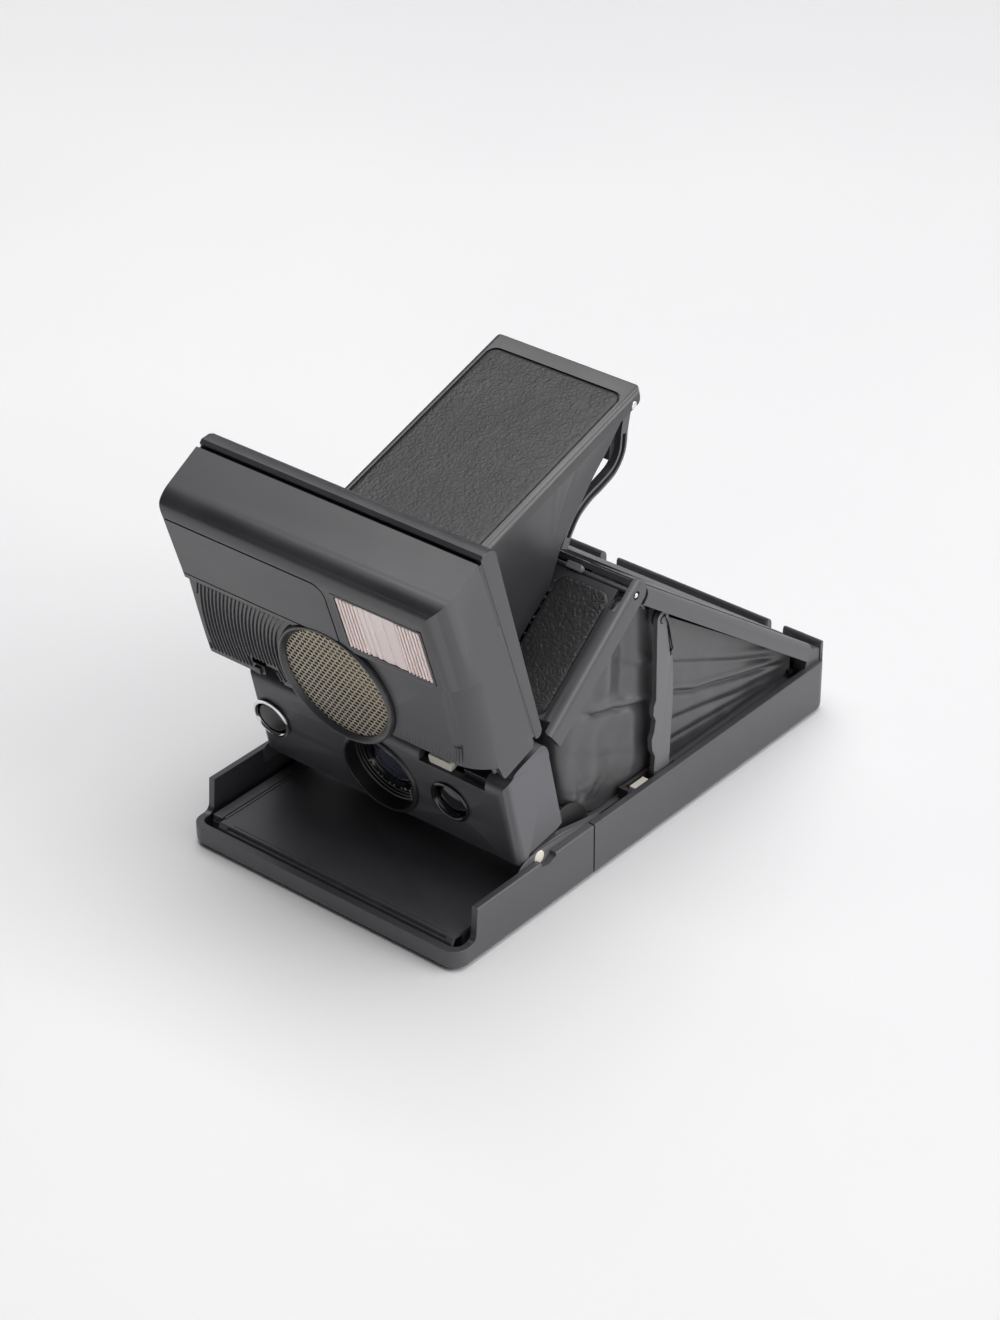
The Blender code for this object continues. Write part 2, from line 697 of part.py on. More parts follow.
def front_cover():
    cover = face_prism(FRONT, FRONT_PLATE, (1.6, 3.0))
    cover = cut(cover, face_box(FRONT, wide(27.0), (9.0, 33.0), (-10, 10)))
    for side in SIDES:
        cover = join(cover, side_prism(FRONT.poly(FRONT_FLANGE), span(side, 48.8, 50.6)),
                     side_prism(FRONT.poly(FRONT_RIM), span(side, 45.8, 49.2)))
        cover = cut(cover, rod(APEX, span(side, 47.0, 52.0), HINGE_BORE_R))
    cover = join(cover, *[side_prism(FRONT.poly(ARM_EAR), span(side, 18.6, 21.4))
                          for side in SIDES])
    return cut(cover, rod(ARM_HINGE, wide(23.0), HINGE_BORE_R))


def front_pad(side):
    outline = rounded(span(side, 27.4, 45.4), (9.4, 42.8), 2.5, 4)
    return face_prism(FRONT, outline, (3.3, 3.9))


def viewfinder_shield():
    """Folding light shield between the front cover and the viewfinder cap."""
    # (y, z)
    outer = [CAP.pt(6.5, -1.5), CAP.pt(69.8, -1.5), FRONT.pt(41.5, 3.6), FRONT.pt(8.0, 3.6),
             (75.9, 93.4), (78.1, 96.3), (83.5, 101.9), (90.3, 109.4), (97.1, 115.8)]
    inner = [CAP.pt(-10.0, 8.0), CAP.pt(68.6, 8.0), CAP.pt(68.6, -1.5), FRONT.pt(40.2, 3.6),
             FRONT.pt(40.2, -6.0), FRONT.pt(-20.0, -6.0), (120.0, 110.0)]
    return cut(side_prism(outer, wide(26.3)), side_prism(inner, wide(25.3)))


# ----------------------------------------------------------------------------
# viewfinder arm, eyepiece and cap
# ----------------------------------------------------------------------------
EYEPIECE_Z = 113.6
# (y, z) along the middle of the arm
ARM_PATH = [
    (79.6, 90.4), (81.7, 94.3), (85.5, 98.9), (90.8, 102.0), (96.4, 104.3),
    (101.2, 107.2), (104.2, 111.4), (106.4, 117.4), (108.3, 124.6)]
# (along, out)
CAP_OUTLINE = [
    (-4.6, 2.6), (-3.4, 3.3), (71.2, 3.3), (72.0, 2.4), (72.0, -1.1),
    (1.5, -1.1), (-1.6, -1.1), (-3.4, 0.2)]
CAP_HOLLOW = [(-6.0, 1.7), (70.4, 1.7), (70.4, -4.0), (-6.0, -4.0)]


def arm_side(side):
    strip = side_prism(ribbon(ARM_PATH, 1.55), span(side, 22.1, 24.6))
    strip = join(strip, rod(CAP_HINGE, span(side, 22.0, 24.65), 1.6, 18))
    return cut(strip, rod(CAP_HINGE, span(side, 21.0, 26.0), 1.2, PIN_STEPS))


def viewfinder_arm():
    """Two side strips, the eyepiece plate between them and the hinge rod."""
    arm = join(*[arm_side(side) for side in SIDES])
    # (y, z)
    plate = [(101.9, 108.6), (104.4, 108.0), (105.6, 118.6), (103.4, 119.6)]
    arm = join(arm, side_prism(plate, wide(22.6)))
    arm = cut(arm, front_prism(oval(0, EYEPIECE_Z, 8.2, 3.9, 28), (95, 115)))
    return join(arm, hinge_rod(ARM_HINGE, 24.4))


def eyepiece_lens():
    return front_prism(oval(0, EYEPIECE_Z, 7.8, 3.5, 28), (102.9, 104.3))


def viewfinder_cap():
    cap = side_prism(CAP.poly(CAP_OUTLINE), wide(26.5))
    recess = rounded(wide(24.4), (2.6, 68.8), 3.0, 4)
    cap = cut(cap, side_prism(CAP.poly(CAP_HOLLOW), wide(24.9)),
              face_prism(CAP, recess, (2.6, 5.0)))
    return cut(cap, *[rod(CAP_HINGE, span(side, 24.0, 27.5), 1.4, PIN_STEPS)
                      for side in SIDES])


def viewfinder_pad():
    return face_prism(CAP, rounded(wide(24.0), (3.0, 68.4), 2.7, 4), (2.95, 3.45))


# ----------------------------------------------------------------------------
# cover support and bellows
# ----------------------------------------------------------------------------
def cover_support():
    # (y, z)
    outline = [(92.2, 66.0), (93.2, 71.6), (95.0, 73.0), (96.6, 71.8), (98.0, 66.0),
               (99.6, 40.0), (99.4, 17.2), (97.2, 15.6), (94.4, 15.8), (92.4, 18.2),
               (93.8, 22.0), (94.4, 26.5), (93.0, 31.0), (91.6, 33.6), (92.2, 37.0)]
    return cut(side_prism(outline, (46.6, 48.2)), rod(STRUT_HINGE, (46.0, 49.0), 1.3, PIN_STEPS))


def bellows():
    """Thin rubber walls, open to the mirror above and the film below."""
    # (y, z)
    outer = [(160.0, 15.6), REAR.pt(12.0, -0.9), REAR.pt(104.5, -0.9), FRONT.pt(8.4, -1.2),
             FRONT.pt(33.5, -1.2), (53.6, 55.5), (52.0, 49.0), (54.5, 36.0), (57.5, 28.5),
             (64.5, 25.0), (66.0, 15.6)]
    inner = [(190.0, 5.0), (190.0, 18.0), REAR.pt(12.0, 8.0), REAR.pt(104.5, 8.0),
             FRONT.pt(9.0, 8.0), FRONT.pt(10.0, -2.6), FRONT.pt(33.0, -2.6), (54.9, 54.8),
             (53.3, 49.0), (55.7, 36.4), (58.3, 29.4), (65.6, 25.8), (67.2, 15.0), (67.2, 5.0)]
    # the box opens the front wall towards the lens
    return cut(side_prism(outer, wide(44.7)), side_prism(inner, wide(43.6)),
               box(wide(20), (45, 58), (34.0, 48.0)))


# ----------------------------------------------------------------------------
# shutter housing
# ----------------------------------------------------------------------------
# (y, z)
HOUSING_OUTLINE = SHUT.poly([
    (-1.1, -0.5), (0.0, 0.0), (23.2, 0.0), (25.0, -0.5), (26.4, -1.8), (27.0, -3.4),
]) + [(43.5, 48.9), (49.3, 23.9), (47.5, 22.9), (31.8, 20.4)]
HOUSING_HOLLOW = SHUT.poly([(1.4, -2.0), (22.6, -2.0), (24.4, -3.4)]) + [
    (60.0, 46.8), (60.0, 24.6), (34.0, 22.4)]
SHOULDER = [
    (27.6, 47.2), (26.9, 49.9), (27.8, 51.0), (39.4, 54.2), (41.9, 53.2),
    (43.4, 50.7), (43.5, 48.5), (42.6, 46.0), (40.0, 44.6)]
HOUSING_LUG = [
    (34.0, 23.5), (35.3, 16.6), (37.2, 14.9), (39.8, 14.9), (41.7, 16.4), (44.5, 24.5)]
HOUSING_NECK = [
    (40.0, 47.0), (41.6, 56.4), (43.2, 59.6), (46.2, 60.2),
    (47.9, 58.4), (47.7, 55.4), (44.6, 50.0), (44.2, 47.0)]
# turned profiles, (radius, out)
LENS_BEZEL = [
    (12.2, -3.4), (12.2, 0.3), (13.9, 0.3), (13.3, 1.1), (12.4, 1.1), (12.0, 0.7), (12.0, -3.4)]
EYE_BEZEL = [
    (5.2, -1.2), (5.6, -1.2), (5.6, 0.35), (6.9, 0.35), (6.6, 0.9), (5.9, 0.9), (5.2, 0.0)]
EYE_LENS = [(0, -2.2), (4.9, -2.2), (4.9, -1.0), (3.4, -0.3), (1.7, 0.0), (0, 0.1)]
BUTTON_RING = [
    (5.3, -1.5), (5.6, -1.5), (5.6, 0.3), (6.5, 0.3),
    (6.5, 0.9), (6.2, 1.2), (5.6, 1.2), (5.3, 0.8)]
BUTTON_CAP = [(0, -3.6), (4.9, -3.6), (4.9, 0.2), (4.2, 0.8), (2.4, 1.1), (0, 1.2)]
BARREL = [
    (0, -10.6), (10.2, -10.6), (10.2, -5.2), (9.8, -4.2), (8.6, -4.2), (8.2, -7.0), (0, -7.0)]
FRONT_LENS = [(0, -6.6), (7.7, -6.6), (7.7, -5.8), (5.4, -4.7), (2.7, -4.1), (0, -3.9)]


def shutter_housing_shell():
    shell = side_prism(HOUSING_OUTLINE, wide(SHUTTER_HALF_W))
    shell = cut(shell, side_prism(HOUSING_HOLLOW, wide(SHUTTER_HALF_W - SHELL_T)))
    for side in SIDES:
        # shoulder beside the head, hinge lug below and neck under the head hinge
        shell = join(shell, side_prism(SHOULDER, span(side, 44.6, SHUTTER_HALF_W)))
        lug = side_prism(HOUSING_LUG, span(side, 44.0, 46.3))
        lug = cut(lug, rod(SHUTTER_HINGE, span(side, 43.0, 47.0), HINGE_BORE_R))
        neck = side_prism(HOUSING_NECK, span(side, 17.6, 20.4))
        neck = cut(neck, rod(HEAD_HINGE, span(side, 17.0, 21.0), HINGE_BORE_R))
        shell = join(shell, lug, neck)
    return cut(shell, face_prism(SHUT, circle(*LENS, 12.4, 40), (-20, 6)),
               face_prism(SHUT, circle(*EYE, 5.9, 28), (-6, 4)),
               face_prism(SHUT, circle(*BUTTON, 5.7, 28), (-6, 4)),
               plan_prism(circle(WHEEL[0], WHEEL[1], 7.4, 28), (48.2, 55.0)),
               face_box(SHUT, (17.0, 41.0), (23.1, 40.0), (-5.6, 3.0)))


def shutter_rear_plate():
    # (y, z)
    outline = [(42.2, 46.2), (43.8, 46.2), (48.0, 25.4), (46.4, 25.4)]
    opening = circle(LENS[0], LENS[1] + 2, 11.5, 32)
    return cut(side_prism(outline, wide(44.2)), face_prism(SHUT, opening, (-30, -10)))


def lens_bezel():
    """Ring round the lens, cut flat along its lower edge."""
    return keep(face_turn(SHUT, LENS, LENS_BEZEL, 48),
                face_box(SHUT, wide(20), (-1.1, 40), wide(10)))


def exposure_slider():
    return face_prism(SHUT, rounded((20.4, 28.8), (23.6, 26.8), 0.8, 3), (-4.4, -0.6))


def focus_wheel():
    """Wheel with a ribbed edge."""
    rib = [(-0.25, 6.9), (0.25, 6.9), (0.35, 6.4), (0.65, 6.4)]
    return plan_prism(toothed(WHEEL[0], WHEEL[1], 30, rib), (WHEEL[2] - 1.5, WHEEL[2] + 1.5))


def shutter_blade(side, front):
    """Blade with a lozenge opening; front is how far out its front face lies."""
    blade = face_box(SHUT, span(side, 9.0, -26.0), (3.0, 21.0), (front - 0.5, front))
    opening = [(-side * 14.0, 12.0), (-side * 10.0, 6.0),
               (-side * 6.5, 12.0), (-side * 10.0, 18.0)]
    return cut(blade, face_prism(SHUT, opening, (front - 3, front + 3)))


# ----------------------------------------------------------------------------
# flash head
# ----------------------------------------------------------------------------
# (y, z)
HEAD_OUTLINE = [
    HEAD_FOOT, (5.2, 85.0), (4.4, 88.4), (2.6, 90.0), (-4.6, 112.8), (-4.9, 114.6),
    (-4.0, 116.9), (-2.0, 118.9), (0.6, 120.2), (12.0, 126.7), (34.6, 59.8),
    (33.8, 59.2), (21.6, 58.2)]
HEAD_HOLLOW = [
    (40.0, 61.6), (13.2, 63.4), (6.8, 90.0), (-1.2, 113.6), (-1.4, 115.2),
    (0.6, 117.4), (18.0, 128.0)]
HEAD_CHEEK = [(20.6, 60.5), (22.0, 54.6), (34.0, 58.0), (34.2, 60.6)]
HEAD_REAR = [
    (12.6, 126.9), (13.8, 127.9), (15.4, 127.9), (16.6, 126.6),
    (37.3, 62.0), (37.2, 60.6), (36.4, 59.9), (35.2, 59.9)]
HEAD_REAR_HOLLOW = [(10.0, 126.0), (14.4, 126.2), (34.9, 62.4), (33.0, 62.4)]
HEAD_ARM = [
    (34.0, 66.6), (35.6, 61.0), (42.6, 54.9), (45.0, 54.4), (47.3, 55.4),
    (47.9, 57.4), (47.0, 59.8), (45.0, 60.5), (37.6, 65.2), (36.4, 69.0)]
# turned profiles, (radius, out)
SONAR_RING = [
    (18.4, -7.5), (SONAR_R, -7.5), (SONAR_R, 1.2), (20.3, 1.9), (19.0, 1.9), (18.4, 1.2)]
SONAR_GRILLE = [(0, -1.6), (18.1, -1.6), (18.1, 0.2), (0, 0.2)]


def head_front_shell():
    head = side_prism(HEAD_OUTLINE, wide(HEAD_HALF_W))
    head = cut(head, side_prism(HEAD_HOLLOW, wide(HEAD_HALF_W - SHELL_T)))
    head = join(head, *[side_prism(HEAD_CHEEK, span(side, 48.9, HEAD_HALF_W))
                        for side in SIDES])
    # openings for the sonar, the flash and the focus switch
    head = cut(head, face_prism(HEAD, circle(*SONAR, SONAR_R + 0.3, 56), wide(9)),
               face_box(HEAD, FLASH_X, FLASH_UP, (-20, 9)),
               face_box(HEAD, (-31.4, -22.6), (-4.0, 4.4), (-6.0, 4.0)))
    return bevelled(head, 0.7, 2)


def head_rear_cover():
    cover = side_prism(HEAD_REAR, wide(HEAD_HALF_W))
    cover = cut(cover, side_prism(HEAD_REAR_HOLLOW, wide(HEAD_HALF_W - SHELL_T)))
    for side in SIDES:
        arm = side_prism(HEAD_ARM, span(side, 13.9, 17.2))
        arm = cut(arm, rod(HEAD_HINGE, span(side, 13.0, 18.0), HINGE_BORE_R))
        cover = join(cover, arm)
    return cover


def inset(pair, margin):
    """Span drawn in by a margin at both ends."""
    return (pair[0] + margin, pair[1] - margin)


def flash_window():
    outline = rounded(inset(FLASH_X, 0.35), inset(FLASH_UP, 0.35), 0.8, 3)
    return face_prism(HEAD, outline, (1.2, 2.6))


def flash_reflector():
    """Block with a trough that narrows towards the tube."""
    up0, up1 = FLASH_UP
    block = face_box(HEAD, inset(FLASH_X, 1.0), inset(FLASH_UP, 1.5), (-9.0, 0.6))
    # (along, out)
    trough = [(up0 + 2.6, 3.0), (up1 - 2.6, 3.0), (up1 - 3.4, -3.5),
              (TUBE_UP + 2.6, -7.8), (TUBE_UP - 2.6, -7.8), (up0 + 3.4, -3.5)]
    return cut(block, side_prism(HEAD.poly(trough), inset(FLASH_X, 2.2)))


def flash_tube():
    return rod(HEAD.pt(TUBE_UP, -5.2), inset(FLASH_X, 2.6), 1.4, 14)


def flash_capacitor():
    return rod(HEAD.pt(41.0, -8.8), (-44.0, 4.0), 5.4, 24)


def focus_switch():
    """Slide with a raised finger piece."""
    return join(face_box(HEAD, (-30.9, -26.4), (0.4, 3.9), (-3.4, 0.6)),
                face_box(HEAD, (-29.8, -27.5), (1.0, 3.3), (0.2, 1.5)))


# ----------------------------------------------------------------------------
# assembly: piece, body, material, solid
# ----------------------------------------------------------------------------
for old in list(bpy.data.objects):
    bpy.data.objects.remove(old, do_unlink=True)
for row in BODIES:
    make_body(*row)

finish("base_tray", "base", "base_plastic", base_tray())
finish("chassis_frame", "base", "chassis_metal", chassis_frame())
finish("film_pack", "base", "film_pack_plastic", film_pack())
finish("film_stack", "base", "film_paper", film_stack())
finish("drive_motor", "base", "motor_can", drive_motor())
finish("tripod_bush", "base", "bush_metal", tripod_bush())
finish("rear_hinge_rod", "base", "pin_steel", hinge_rod(REAR_HINGE, 48.6))
finish("shutter_hinge_rod", "base", "rivet_cream", shutter_hinge_rod())

finish("film_door_shell", "film_door", "base_plastic", film_door_shell())
finish("door_plate", "film_door", "door_plate_black", door_plate())
finish("roller_bracket", "film_door", "bracket_steel", roller_bracket())
finish("upper_roller", "upper_roller", "roller_steel", roller(UPPER_ROLLER))
finish("lower_roller", "lower_roller", "roller_steel", roller(LOWER_ROLLER))
finish("drive_pinion", "drive_pinion", "gear_brass", gear(MOTOR, 12, 2.46))
finish("transfer_gear", "transfer_gear", "gear_nylon", gear(IDLER, 20, 4.1))
finish("roller_gear", "upper_roller", "gear_nylon", roller_gear())

finish("pick_arm", "pick_arm", "pick_steel", pick_arm())
finish("counter_dial", "counter_dial", "dial_white", counter_dial())
finish("door_latch", "door_latch", "latch_cream", door_latch())
finish("mirror_carrier", "mirror_carrier", "carrier_black", mirror_carrier())
finish("taking_mirror", "mirror_carrier", "mirror_silver", taking_mirror())
finish("fresnel_screen", "mirror_carrier", "fresnel_plastic", fresnel_screen())

finish("rear_cover", "rear_cover", "cover_plastic", rear_cover())
finish("rear_cover_panel", "rear_cover", "cover_panel", rear_cover_panel())
finish("fixed_mirror", "rear_cover", "mirror_silver", fixed_mirror())
finish("apex_hinge_rod", "rear_cover", "pin_steel", hinge_rod(APEX, 50.7, COVER_PIN_R))
finish("front_cover", "front_cover", "cover_plastic", front_cover())
finish("front_pad_left", "front_cover", "leather_black", front_pad(-1))
finish("front_pad_right", "front_cover", "leather_black", front_pad(1))

finish("viewfinder_shield", "front_cover", "shield_plastic", viewfinder_shield())
finish("viewfinder_arm", "viewfinder_arm", "arm_black", viewfinder_arm())
finish("eyepiece_lens", "viewfinder_arm", "lens_glass", eyepiece_lens())
finish("viewfinder_cap", "viewfinder_cap", "cap_plastic", viewfinder_cap())
finish("viewfinder_pad", "viewfinder_cap", "leather_black", viewfinder_pad())
finish("viewfinder_hinge_rod", "viewfinder_arm", "pin_steel",
       hinge_rod(CAP_HINGE, 26.6, COVER_PIN_R))
finish("cover_support", "cover_support", "support_plastic", cover_support())
finish("bellows", "base", "bellows_rubber", bellows())

finish("shutter_housing_shell", "shutter", "housing_plastic", shutter_housing_shell())
finish("shutter_rear_plate", "shutter", "plate_black", shutter_rear_plate())
finish("lens_bezel", "shutter", "bezel_black", lens_bezel())
finish("electric_eye_bezel", "shutter", "bezel_black", face_turn(SHUT, EYE, EYE_BEZEL, 32))
finish("electric_eye_lens", "shutter", "lens_glass", face_turn(SHUT, EYE, EYE_LENS, 28))
finish("button_ring", "shutter", "ring_chrome", face_turn(SHUT, BUTTON, BUTTON_RING, 36))
finish("head_hinge_rod", "shutter", "pin_steel", hinge_rod(HEAD_HINGE, 20.7))
finish("shutter_button", "shutter_button", "button_black",
       face_turn(SHUT, BUTTON, BUTTON_CAP, 32))
finish("exposure_slider", "exposure_slider", "slider_cream", exposure_slider())
finish("lens_barrel", "lens_barrel", "barrel_black", face_turn(SHUT, LENS, BARREL, 40))
finish("front_lens", "lens_barrel", "lens_glass", face_turn(SHUT, LENS, FRONT_LENS, 36))
finish("focus_wheel", "focus_wheel", "wheel_black", focus_wheel())
finish("shutter_blade_left", "shutter_blade_left", "blade_black", shutter_blade(-1, -12.2))
finish("shutter_blade_right", "shutter_blade_right", "blade_black", shutter_blade(1, -13.5))

finish("head_front_shell", "flash_head", "head_plastic", head_front_shell())
finish("sonar_ring", "flash_head", "ring_black", face_turn(HEAD, SONAR, SONAR_RING, 56))
finish("sonar_grille", "flash_head", "grille_gold", face_turn(HEAD, SONAR, SONAR_GRILLE, 48))
finish("head_rear_cover", "flash_head", "cover_plastic", head_rear_cover())
finish("flash_window", "flash_head", "flash_fresnel", flash_window())
finish("flash_reflector", "flash_head", "reflector_silver", flash_reflector())
finish("flash_tube", "flash_head", "tube_glass", flash_tube())
finish("flash_capacitor", "flash_head", "capacitor_sleeve", flash_capacitor())
finish("focus_switch", "focus_switch", "switch_black", focus_switch())
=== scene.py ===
"""Looks of a folding instant camera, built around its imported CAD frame.

The camera stands open on the floor at z = 0. Its front faces -y and its right side is +x,
as seen from the front. Part sizes are millimetres, with x = 0 on the centre line and y
counted from the front edge of the film door. Side outlines list (y, z).
"""
from math import asin, atan2, copysign, cos, degrees, dist, exp, hypot, pi, radians, sin, sqrt
import bpy
import bmesh
from mathutils import Matrix, Vector, noise

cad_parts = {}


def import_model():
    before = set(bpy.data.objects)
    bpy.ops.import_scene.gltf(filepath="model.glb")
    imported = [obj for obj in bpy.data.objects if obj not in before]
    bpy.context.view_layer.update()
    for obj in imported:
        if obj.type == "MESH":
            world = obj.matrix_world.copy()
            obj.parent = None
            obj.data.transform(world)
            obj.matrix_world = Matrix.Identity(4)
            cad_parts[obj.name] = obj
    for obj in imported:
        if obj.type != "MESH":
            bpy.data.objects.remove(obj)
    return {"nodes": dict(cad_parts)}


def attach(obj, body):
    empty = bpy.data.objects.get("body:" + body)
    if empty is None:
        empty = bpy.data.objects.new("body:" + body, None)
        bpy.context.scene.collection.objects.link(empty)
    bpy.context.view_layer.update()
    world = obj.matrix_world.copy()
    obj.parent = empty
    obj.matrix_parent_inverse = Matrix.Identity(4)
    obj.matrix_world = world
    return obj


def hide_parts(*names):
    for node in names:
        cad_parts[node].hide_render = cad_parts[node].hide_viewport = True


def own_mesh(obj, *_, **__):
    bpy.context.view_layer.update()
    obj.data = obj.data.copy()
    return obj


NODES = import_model()["nodes"]
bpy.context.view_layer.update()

MM = 0.001
SIDES = (-1, 1)                # left, right
BODY_LEN = 176.5
HALF_WIDTH = 51.0              # tray and film door
WALL = 2.2
WALL_TOP = 17.7
SHUTTER_HALF = 48.4            # half width of the shutter housing
HEAD_HALF = 50.4               # half width of the flash head

# hinge lines across the body, (y, z)
REAR_HINGE = (170.0, 20.0)
APEX = (79.2, 85.3)
SHUTTER_HINGE = (38.5, 18.0)
HEAD_HINGE = (45.2, 57.4)
ARM_HINGE = (80.2, 91.6)
CAP_HINGE = (108.4, 125.0)
STRUT_HINGE = (95.0, 69.0)

# centres on the shutter and head faces, (x, distance up the face)
LENS = (0.0, 9.8)
EYE = (26.5, 11.9)
BUTTON = (-41.2, 11.9)
SONAR = (2.5, 11.0)

WHEEL = (-29.0, 30.4, 51.2)    # focus wheel centre, (x, y, z)
EYEPIECE_Z = 113.6
WINDOW = (11.5, 43.5, 0.55, 21.4)    # flash opening: x from, x to, up the brow from, to


# ---- outlines ----
def place(x, y, z):
    return Vector((x * MM, (y - BODY_LEN / 2) * MM, z * MM))


def span(side, near, far):
    """x range between two distances from the centre line, on one side."""
    return sorted((side * near, side * far))


def mirrored(section, side):
    """Right-hand section, flipped for the left side with its winding kept."""
    return [(side * x, off) for x, off in section][::side]


def rectangle(x0, x1, y0, y1):
    return [(x0, y0), (x1, y0), (x1, y1), (x0, y1)]


def arc(x, y, radius, start, end, n=6):
    angles = [radians(start + (end - start) * i / n) for i in range(n + 1)]
    return [(x + radius * cos(angle), y + radius * sin(angle)) for angle in angles]


def circle(x, y, radius, n=32):
    angles = [2 * pi * i / n for i in range(n)]
    return [(x + radius * cos(angle), y + radius * sin(angle)) for angle in angles]


def oval(x, y, z, x_radius, z_radius, n):
    """Placed ellipse facing along y."""
    angles = [2 * pi * i / n for i in range(n)]
    return [place(x + x_radius * cos(angle), y, z + z_radius * sin(angle)) for angle in angles]


def shoulders(x, y, radius, n=8):
    """Right then left rounded corner, with arc centres at +x and -x."""
    return arc(x, y, radius, 0, 90, n) + arc(-x, y, radius, 90, 180, n)


def rounded(x0, x1, y0, y1, radii, n=6):
    """Rounded rectangle; radii is one value or lower right, upper right, upper left, lower left."""
    if not isinstance(radii, tuple):
        radii = (radii,) * 4
    low_right, up_right, up_left, low_left = radii
    return (arc(x1 - low_right, y0 + low_right, low_right, -90, 0, n)
            + arc(x1 - up_right, y1 - up_right, up_right, 0, 90, n)
            + arc(x0 + up_left, y1 - up_left, up_left, 90, 180, n)
            + arc(x0 + low_left, y0 + low_left, low_left, 180, 270, n))


def bezier(start, control, end, n=8):
    curve = []
    for i in range(n + 1):
        t = i / n
        curve.append(tuple((1 - t) ** 2 * p + 2 * t * (1 - t) * q + t * t * r
                           for p, q, r in zip(start, control, end)))
    return curve


def smooth_line(points, n=4):
    """Catmull-Rom curve through the points, n steps to each span."""
    curve = []
    last = len(points) - 1
    for i in range(last):
        knots = [points[max(i - 1, 0)], points[i], points[i + 1], points[min(i + 2, last)]]
        for k in range(n):
            t = k / n
            curve.append(tuple(
                0.5 * ((2 * q) + (-p + r) * t + (2 * p - 5 * q + 4 * r - s) * t * t
                       + (-p + 3 * q - 3 * r + s) * t ** 3)
                for p, q, r, s in zip(*knots)))
    curve.append(tuple(points[-1]))
    return curve


def resample(points, n):
    """n points evenly spaced along a line."""
    reach = [0.0]
    for start, end in zip(points, points[1:]):
        reach.append(reach[-1] + dist(start, end))
    line = []
    k = 0
    for i in range(n):
        goal = reach[-1] * i / (n - 1)
        while k < len(reach) - 2 and reach[k + 1] < goal:
            k += 1
        part = (goal - reach[k]) / max(reach[k + 1] - reach[k], 1e-9)
        line.append(tuple(p + (q - p) * part for p, q in zip(points[k], points[k + 1])))
    return line


def ribbon(points, half):
    """Outline of a strip along a line."""
    left, right = [], []
    for i, (y, z) in enumerate(points):
        before = points[max(i - 1, 0)]
        after = points[min(i + 1, len(points) - 1)]
        run, rise = after[0] - before[0], after[1] - before[1]
        length = hypot(run, rise)
        shift_y, shift_z = -rise / length * half, run / length * half
        left.append((y + shift_y, z + shift_z))
        right.append((y - shift_y, z - shift_z))
    return left + right[::-1]


# ---- solids ----
def from_bmesh(mesh, recalc=True):
    if recalc:
        bmesh.ops.recalc_face_normals(mesh, faces=mesh.faces)
    data = bpy.data.meshes.new("tmp")
    mesh.to_mesh(data)
    mesh.free()
    ob = bpy.data.objects.new("tmp", data)
    bpy.context.scene.collection.objects.link(ob)
    return ob


def loft(rings, closed=False):
    """Skin over rings of points: capped at both ends, or closed back on itself."""
    mesh = bmesh.new()
    rows = [[mesh.verts.new(point) for point in ring] for ring in rings]
    n = len(rings[0])
    for row, following in zip(rows, rows[1:] + (rows[:1] if closed else [])):
        for i in range(n):
            j = (i + 1) % n
            mesh.faces.new((row[i], row[j], following[j], following[i]))
    if not closed:
        mesh.faces.new(rows[0][::-1])
        mesh.faces.new(rows[-1])
    return from_bmesh(mesh)


def side_prism(outline, x0, x1):
    return loft([[place(x, y, z) for y, z in outline] for x in (x0, x1)])


def plan_prism(outline, z0, z1):
    return loft([[place(x, y, z) for x, y in outline] for z in (z0, z1)])


def box(x0, x1, y0, y1, z0, z1):
    return plan_prism(rectangle(x0, x1, y0, y1), z0, z1)


def rod(centre, x0, x1, radius, n=20, dome=0):
    """Rod along x about (y, z), with an optional dome at x1."""
    stations = [(x0, radius), (x1, radius)]
    if dome:
        for k in range(1, 5):
            angle = radians(90 * k / 5)
            stations.append((x1 + dome * sin(angle), radius * cos(angle)))
    return loft([[place(x, y, z) for y, z in circle(*centre, r, n)] for x, r in stations])


class SidePlane:
    """Plane seen edge-on from the side: 'along' runs up it, 'off' stands off it."""

    def __init__(self, origin, slope, flip=1):
        angle = radians(slope)
        self.origin = origin
        self.axis = (cos(angle), sin(angle))
        self.out = (-flip * sin(angle), flip * cos(angle))

    def at(self, along, off):
        return tuple(start + along * step + off * out
                     for start, step, out in zip(self.origin, self.axis, self.out))

    def outline(self, points):
        return [self.at(along, off) for along, off in points]

    def place(self, x, along, off):
        return place(x, *self.at(along, off))

    def normal(self):
        return Vector((0, *self.out))

    def prism(self, outline, off0, off1):
        """Outline of (x, along) raised off the plane."""
        return loft([[self.place(x, along, off) for x, along in outline]
                     for off in (off0, off1)])

    def box(self, x0, x1, along0, along1, off0, off1):
        return self.prism(rectangle(x0, x1, along0, along1), off0, off1)

    def run(self, section, along0, along1):
        """Section of (x, off) run along the plane."""
        return loft([[self.place(x, along, off) for x, off in section]
                     for along in (along0, along1)])

    def turn(self, centre, profile, n=64):
        """Profile of (radius, off) turned about the normal; closed unless it starts at 0."""
        mesh = bmesh.new()
        rows = []
        for radius, off in profile:
            ring = circle(*centre, radius, n) if radius > 0 else [centre]
            rows.append([mesh.verts.new(self.place(x, along, off)) for x, along in ring])
        pairs = list(zip(rows, rows[1:]))
        if len(rows[0]) > 1:
            pairs.append((rows[-1], rows[0]))
        for row, following in pairs:
            for i in range(n):
                j = (i + 1) % n
                corners = (row[i % len(row)], following[i % len(following)],
                           following[j % len(following)], row[j % len(row)])
                mesh.faces.new(tuple(dict.fromkeys(corners)))
        return from_bmesh(mesh)


